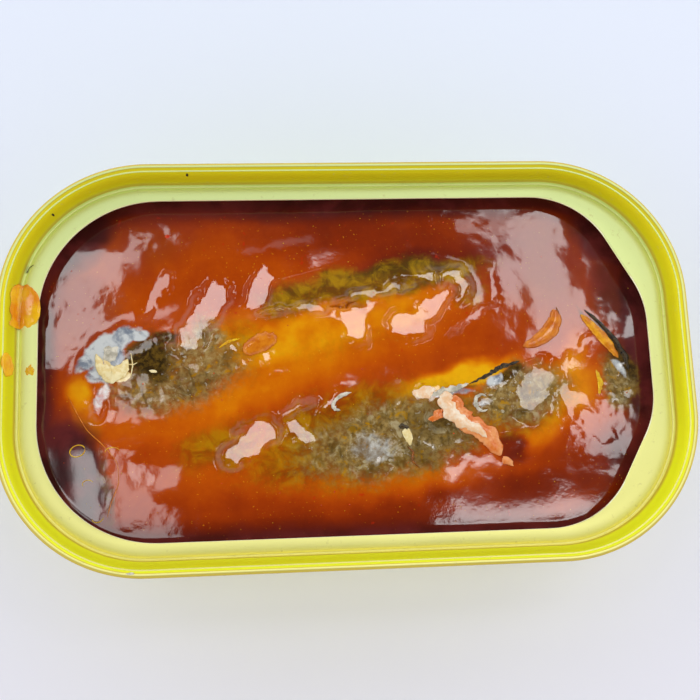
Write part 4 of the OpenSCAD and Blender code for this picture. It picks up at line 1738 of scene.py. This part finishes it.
# The small pieces, in the order in which they are made.
TRIMMINGS = (
    ("flesh_strip", Slot.SCRAPS, Tint.FLESH, Bed.WET, Strip(
        ((16.2, -5.0), (16.4, -7.6), (17.8, -9.4), (19.8, -10.4), (21.6, -12.0), (23.0, -14.8)),
        (2.0, 3.0, 3.2, 2.8, 3.2, 1.4), 0.7, 0.08, 0.35, 2.0)),
    ("flesh_strip_pale", Slot.SCRAPS, Tint.PALE, Bed.WET, Strip(
        ((14.9, -4.4), (14.8, -6.4), (15.8, -8.2), (17.6, -9.6), (19.8, -10.6), (21.0, -12.0)),
        (1.5, 2.7, 2.4, 1.8, 1.5, 0.5), 0.8, 0.22, 0.45, 5.0)),
    ("flesh_crumb", Slot.SCRAPS, Tint.FLESH, Bed.WET, Scrap(13.2, -8.2, 2.8, 1.3, 35, 0.3, 0.02, 0.9, 3.0)),
    ("flesh_end", Slot.SCRAPS, Tint.FLESH, Bed.WET, Scrap(24.0, -15.6, 2.2, 1.2, -30, 0.5, 0.04, 0.4, 8.0)),
    ("blue_skin_scrap", Slot.SCRAPS, Tint.SILVER, Bed.WET, Scrap(
        -36.6, 2.8, 2.4, 2.2, 30, 0.3, 0.04, 0.5, 2.2)),
    ("cream_scrap_lower", Slot.SCRAPS, Tint.CREAM, Bed.WET, Strip(
        ((-38.9, 2.8), (-38.2, 0.6), (-36.6, -0.7), (-35.0, 0.0), (-34.0, 1.8)),
        (0.5, 1.5, 2.6, 2.2, 0.5), 0.45, 0.12, 0.3, 3.3)),
    ("bone_long", Slot.SCRAPS, Tint.CREAM, Bed.WET, Strip(
        ((-33.6, 2.8), (-33.3, 0.8), (-33.6, -1.0)), (0.12, 0.22, 0.12), 0.2, 0.12, 0.3, 1.0)),
    ("bone_cross", Slot.SCRAPS, Tint.CREAM, Bed.WET, Strip(
        ((-34.6, 1.0), (-33.2, 0.9), (-32.6, 1.2)), (0.1, 0.2, 0.1), 0.2, 0.12, 0.3, 2.0)),
    ("bone_fleck", Slot.SCRAPS, Tint.CREAM, Bed.WET, Scrap(
        -30.2, -0.2, 1.3, 0.45, -8, 0.25, 0.10, 0.3, 6.0)),
    ("cream_fleck", Slot.SCRAPS, Tint.CREAM, Bed.WET, Scrap(
        8.6, -11.2, 1.3, 2.8, 14, 0.4, 0.10, 0.35, 7.0)),
    ("black_fleck", Slot.SCRAPS, Tint.DARK, Bed.WET, Scrap(7.9, -9.8, 1.5, 0.8, -10, 0.4, 0.08, 0.4, 9.0)),
    ("brown_tear", Slot.SCRAPS, Tint.BROWN, Bed.WET, Strip(
        ((8.4, -12.8), (9.4, -13.8), (9.0, -15.0), (10.2, -16.2)),
        (0.15, 0.4, 0.3, 0.12), 0.3, 0.02, 0.5, 4.0)),
    ("skin_edge_dark", Slot.SCRAPS, Tint.DARK, Bed.WET, Strip(
        ((18.6, -3.4), (21.0, -2.4), (23.6, -0.9), (27.0, 0.1)),
        (0.15, 0.5, 0.8, 0.3), 0.14, 0.02, 0.9, 6.0)),
    ("lip_pale", Slot.SCRAPS, Tint.PALE, Bed.WET, Scrap(11.4, -4.5, 3.6, 1.9, 8, 0.3, 0.03, 0.5, 3.0)),
    ("silver_lip", Slot.SCRAPS, Tint.SILVER, Bed.WET, Strip(
        ((12.6, -5.0), (14.4, -4.5), (16.8, -3.9), (18.6, -3.3)),
        (0.5, 1.2, 0.9, 0.3), 0.25, 0.02, 0.7, 2.0)),
    ("pale_curl", Slot.SCRAPS, Tint.SILVER, Bed.WET, Strip(
        ring_path(-0.6, -5.6, 4.6, 2.4, 20, 60, 230), (0.25, 0.7, 0.5, 0.7, 0.25), 0.35, 0.05, 0.5, 3.0)),
    ("silver_curl", Slot.SCRAPS, Tint.SILVER, Bed.WET, Strip(
        ring_path(20.6, -6.4, 2.2, 2.6, 10, 40, 300), (0.2, 0.5, 0.7, 0.5, 0.2), 0.35, 0.05, 0.4, 5.0)),
    ("gel_chip", Slot.SAUCE, Tint.AMBER, Bed.WET, Strip(
        ((-16.4, 2.4), (-14.8, 3.4), (-13.0, 4.2), (-11.2, 4.8)),
        (1.6, 2.8, 3.0, 1.4), 0.7, 0.06, 0.15, 3.0)),
    ("amber_slice", Slot.SAUCE, Tint.AMBER, Bed.WET, Strip(
        ((27.6, 2.4), (30.0, 3.2), (32.2, 4.8), (33.3, 6.8), (33.0, 8.4)),
        (0.8, 2.0, 2.6, 2.2, 0.8), 0.7, 0.10, 0.1, 5.0)),
    ("amber_slice_edge", Slot.SAUCE, Tint.BROWN, Bed.WET, Strip(
        ((29.6, 2.2), (31.8, 3.2), (33.3, 4.7), (34.1, 6.8), (33.5, 8.8)),
        (0.12, 0.2, 0.25, 0.25, 0.12), 0.2, 0.16, 0.1, 5.0)),
    ("fin_orange", Slot.SCRAPS, Tint.GOLD, Bed.WET, Strip(
        ((37.4, 7.4), (39.2, 5.4), (41.2, 3.0), (43.0, 0.2)), (0.6, 1.5, 1.7, 0.6), 0.5, 0.12, 0.2, 3.0)),
    ("fin_edge", Slot.SCRAPS, Tint.DARK, Bed.WET, Strip(
        ((38.0, 8.2), (40.2, 6.2), (42.4, 3.6), (44.2, 0.4), (44.6, -2.0)),
        (0.3, 0.6, 0.8, 0.9, 0.3), 0.25, 0.08, 0.4, 3.0)),
    ("yellow_streak_tail", Slot.SCRAPS, Tint.YELLOW, Bed.WET, Strip(
        ((39.2, -1.6), (39.8, -3.6), (39.4, -5.6)), (0.3, 1.0, 0.3), 0.3, 0.06, 0.4, 3.0)),
    ("pool_edge", Slot.SAUCE, Tint.AMBER, Bed.WET, Strip(
        ((-43.4, -3.0), (-41.8, -6.2), (-40.2, -9.0), (-37.4, -11.6), (-35.6, -14.0), (-35.4, -17.0),
         (-36.6, -20.0), (-37.2, -22.4)),
        (0.06, 0.16, 0.10, 0.18, 0.08, 0.14, 0.16, 0.06), 0.12, 0.02, 0.6, 2.0)),
    ("oil_ring_large", Slot.SAUCE, Tint.YELLOW, Bed.WET, Strip(
        ring_path(-41.6, -12.0, 2.3, 1.7, 20), (0.16,) * 5, 0.18, 0.04, 0.2)),
    ("oil_ring_low", Slot.SAUCE, Tint.YELLOW, Bed.WET, Strip(
        ring_path(-40.0, -17.0, 1.6, 1.2, 0, 20, 220), (0.05, 0.12, 0.12, 0.05), 0.12, 0.02, 0.2)),
    ("oil_arc_low", Slot.SAUCE, Tint.YELLOW, Bed.WET, Strip(
        ring_path(-38.5, -22.0, 1.8, 1.4, 30, 150, 330), (0.05, 0.14, 0.14, 0.05), 0.12, 0.02, 0.2)),
    ("oil_arc_high", Slot.SAUCE, Tint.YELLOW, Bed.WET, Strip(
        ring_path(-36.4, -12.3, 2.2, 1.4, 0, 10, 190), (0.05, 0.14, 0.14, 0.05), 0.12, 0.02, 0.2)),
    ("yellow_streak", Slot.SAUCE, Tint.YELLOW, Bed.WET, Strip(
        ((-20.2, 3.2), (-18.8, 4.2), (-17.0, 4.6)), (0.2, 0.5, 0.2), 0.25, 0.03, 0.5, 7.0)),
    ("red_spot", Slot.SCRAPS, Tint.RED, Bed.WET, Scrap(-28.0, 21.3, 0.8, 0.6, 0, 0.2, 0.02, 0.3, 2.0)),
    ("spice_specks", Slot.SCRAPS, Tint.YELLOW, Bed.WET, Specks(220, 7, 0.08, 0.22)),
    ("red_specks", Slot.SCRAPS, Tint.RED, Bed.WET, Specks(70, 19, 0.14, 0.36)),
    ("rim_smear", Slot.SAUCE, Tint.DROP, Bed.METAL, Scrap(-48.8, 9.8, 4.2, 6.6, 4, 0.45, 0.08, 0.22, 5.0)),
    ("rim_smear_tail", Slot.SAUCE, Tint.DROP, Bed.METAL, Scrap(
        -49.6, 7.6, 3.0, 2.0, 60, 0.4, 0.05, 0.4, 3.0)),
    ("rim_drop", Slot.SAUCE, Tint.DROP, Bed.METAL, Scrap(-50.8, 0.5, 1.3, 3.4, 4, 0.6, 0.08, 0.2, 6.0)),
    ("ledge_stain", Slot.SAUCE, Tint.YELLOW, Bed.METAL, Scrap(
        -48.3, -0.1, 1.3, 2.1, 0, 0.25, 0.03, 0.5, 4.0)),
    ("wall_hair", Slot.SCRAPS, Tint.DARK, Bed.METAL, Strip(
        ((-48.9, 15.0), (-48.5, 15.8), (-47.8, 16.2)), (0.08, 0.12, 0.08), 0.12, 0.08)),
    ("wall_speck_back", Slot.SCRAPS, Tint.DARK, Bed.METAL, Scrap(-24.4, 29.4, 0.4, 0.3, 0, 0.2, 0.08, 0.3)),
    ("wall_speck_left", Slot.SCRAPS, Tint.DARK, Bed.METAL, Scrap(
        -44.6, 23.4, 0.35, 0.3, 0, 0.2, 0.08, 0.3)),
    ("seam_scuff", Slot.SCRAPS, Tint.SILVER, Bed.METAL, Scrap(
        -33.0, -30.3, 1.6, 0.5, 10, 0.06, -0.03, 0.5)),
)


@dataclass
class Trimmings:
    """Every small scrap, bone, streak, oil ring, speck and smear in and on the tin."""

    larder: Contents
    lid: LidRing

    def metal(self, x: np.ndarray, y: np.ndarray) -> np.ndarray:
        """The metal's height at each place in plan."""
        return self.lid.height(PLAN.inset(x, y))

    def build(self) -> None:
        """Builds and registers every small piece."""
        finishes = {tint: tint.value.make() for tint in Tint}
        grounds = {Bed.WET: self.larder.surface, Bed.METAL: self.metal}
        for name, slot, tint, bed, shape in TRIMMINGS:
            register(shape.build(name, finishes[tint], grounds[bed]), slot)


# ---------------------------------------------------------------- studio


# The windows, as rows of name, low corner, high corner, radiance and turn.
WINDOWS = (
    ("window_left_bar", (-130.0, -13.0), (-114.0, 31.0), 8.0, 4.0),
    ("window_left_slit", (-151.0, 7.0), (-143.0, 31.0), 6.0, 8.0),
    ("window_back_bright", (30.0, 105.0), (60.0, 135.0), 10.5, 0.0),
    ("window_back_faint", (-22.0, 158.0), (34.0, 176.0), 1.2, -6.0),
    ("window_left_wide", (-150.0, 88.0), (-120.0, 154.0), 7.5, -8.0),
    ("window_left_far", (-112.0, 130.0), (-88.0, 182.0), 6.0, -22.0),
    ("window_left_low", (-108.0, -26.0), (-76.0, 31.0), 5.0, -6.0),
    ("window_right_wide", (148.0, 98.0), (194.0, 181.0), 8.0, 16.0),
    ("window_right_faint", (108.0, 160.0), (146.0, 184.0), 4.0, 0.0),
    ("window_right_bar", (196.0, 96.0), (219.0, 125.0), 9.0, 30.0),
    ("window_right_low", (98.0, -24.0), (196.0, -10.0), 10.0, 4.0),
    ("window_right_slit", (194.0, 11.0), (219.0, 51.0), 8.0, -20.0),
)


@dataclass
class Studio:
    """A pale floor with painted light, soft light and the camera."""

    floor_size: float = 6.0
    near_clip: float = 0.01
    lens: float = 52.5
    turn: tuple[float, float, float] = (10.493, -4.432, -2.167)

    def floor(self) -> None:
        """A pale floor, painted lighter and bluer towards the back and warmer in front: painted light."""
        deselect_all()
        bpy.ops.mesh.primitive_plane_add(size=self.floor_size)
        ground = bpy.context.object
        ground.name = "floor"
        made, graph, shader, place = new_material("floor_paint")
        parts = graph.add("SeparateXYZ", {0: place})
        cloud = graph.math("MULTIPLY", graph.noise(place, 60.0, 2.0), 0.1)
        # Painted light: the floor's colour runs from warmer in front to lighter and bluer at the back.
        painted_floor_light = graph.math("ADD", graph.range(parts.outputs["Y"], -0.07, 0.09, 0.0, 0.9), cloud)
        graph.put(shader.inputs["Base Color"], graph.mix(painted_floor_light, (0.84, 0.82, 0.92), (0.81, 0.86, 1.0)))
        shader.inputs["Roughness"].default_value = 0.8
        ground.data.materials.append(made)

    def world(self) -> None:
        """Soft light from all round, brighter low down, behind and at the sides, and dark straight above."""
        room = bpy.data.worlds.new("room")
        bpy.context.scene.world = room
        room.use_nodes = True
        room.node_tree.nodes.clear()
        graph = Graph(room.node_tree)
        way = graph.add("TexCoord").outputs["Generated"]
        parts = graph.add("SeparateXYZ", {0: way})
        ring = graph.range(parts.outputs["Z"], 0.64, 0.98, 1.0, 0.05)
        back = graph.range(parts.outputs["Y"], -0.9, 0.3, 0.85, 1.12)
        sides = graph.range(graph.math("ABSOLUTE", parts.outputs["X"]), 0.2, 0.9, 1.22, 1.42)
        strength = graph.math("MULTIPLY", graph.math("MULTIPLY", ring, back), sides)
        light = graph.add("Background", {"Color": (0.97, 0.985, 1.0, 1.0), "Strength": strength})
        graph.add("OutputWorld", {"Surface": light.outputs[0]})

    def window(self, name: str, low: Point, high: Point, power: float, turn: float) -> None:
        """A soft rectangular light that faces down.

        Args:
            name: Name of the light.
            low: Its lowest corner in plan, in millimetres.
            high: Its highest corner in plan.
            power: Its power in watts.
            turn: How far it is turned in plan, in degrees.
        """
        lamp = bpy.data.lights.new(name, "AREA")
        lamp.shape = "RECTANGLE"
        lamp.size, lamp.size_y = (high[0] - low[0]) * MM, (high[1] - low[1]) * MM
        lamp.energy = power
        holder = bpy.data.objects.new(name, lamp)
        holder.location = Vector(((low[0] + high[0]) / 2, (low[1] + high[1]) / 2, WINDOW_HEIGHT)) * MM
        holder.rotation_euler = (0.0, 0.0, math.radians(turn))
        holder.visible_camera = False
        bpy.context.scene.collection.objects.link(holder)

    def camera(self) -> None:
        """The camera, above the tin and a little in front."""
        made = bpy.data.cameras.new("camera")
        made.lens = self.lens
        made.clip_start = self.near_clip
        holder = bpy.data.objects.new("camera", made)
        holder.location = EYE * MM
        holder.rotation_euler = tuple(math.radians(a) for a in self.turn)
        bpy.context.scene.collection.objects.link(holder)
        bpy.context.scene.camera = holder

    def build(self) -> None:
        """Sets up everything that isn't the tin."""
        self.camera()
        self.floor()
        self.world()
        for name, low, high, radiance, turn in WINDOWS:
            area = (high[0] - low[0]) * (high[1] - low[1]) * MM * MM
            self.window(name, low, high, radiance * math.pi * area, turn)
        bpy.context.scene.view_settings.view_transform = "Standard"


# ---------------------------------------------------------------- assembly


def register(piece: bpy.types.Object, slot: Slot, *nodes: str) -> None:
    """Ties a finished piece to the frame and reports it.

    Args:
        piece: The piece.
        slot: The material slot meant for it; not used.
        *nodes: The construction nodes that it stands for.
    """
    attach(piece, "root")
    if nodes:
        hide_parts(*nodes)
    LOG.info("%s: %d faces", piece.name, len(piece.data.polygons))


def main() -> None:
    """Builds the tin, its contents and the studio."""
    logging.basicConfig(level=logging.INFO, format="%(name)s %(message)s")
    Studio().build()
    for build_group in (build_lacquer_group, build_tomato_group, build_wet_group, build_skin_group):
        build_group()
    register(CanBody().build(Lacquer("can_lacquer", 0.25).make()), Slot.CAN, "can")
    lid = LidRing()
    register(lid.build(Lacquer("lid_lacquer", 0.35).make()), Slot.LID, "lid_ring")

    fishes = [
        Sardine("front_fish", "sardine_front", tail=(-34.85, -16.36, 14.70), head=(43.85, -2.38, 16.30),
                width=16.0, bow=-0.8, tail_girth=0.6, rise=0.18),
        Sardine("middle_fish", "sardine_middle", tail=(22.45, 12.50, 17.76), head=(-42.85, -2.08, 17.26),
                width=13.6, bow=-0.8, tail_girth=0.82),
        Sardine("back_fish", "sardine_back", tail=(2.05, 20.53, 15.46), head=(-42.05, 18.45, 17.06),
                width=11.9, bow=0.0, tail_girth=0.6, cover=2.2, rise=0.12),
    ]
    larder = Contents(fishes=fishes)
    register(Sauce().build(WetFood("sauce_wet", 1.0, 0.0).make(), larder), Slot.SAUCE, "sauce")
    skin = WetFood("fish_wet", 1.0, 1.6).make()
    for fish in fishes:
        register(fish.build(skin, larder), Slot.FISH, fish.node)
    Trimmings(larder, lid).build()


if __name__ == "__main__":
    main()
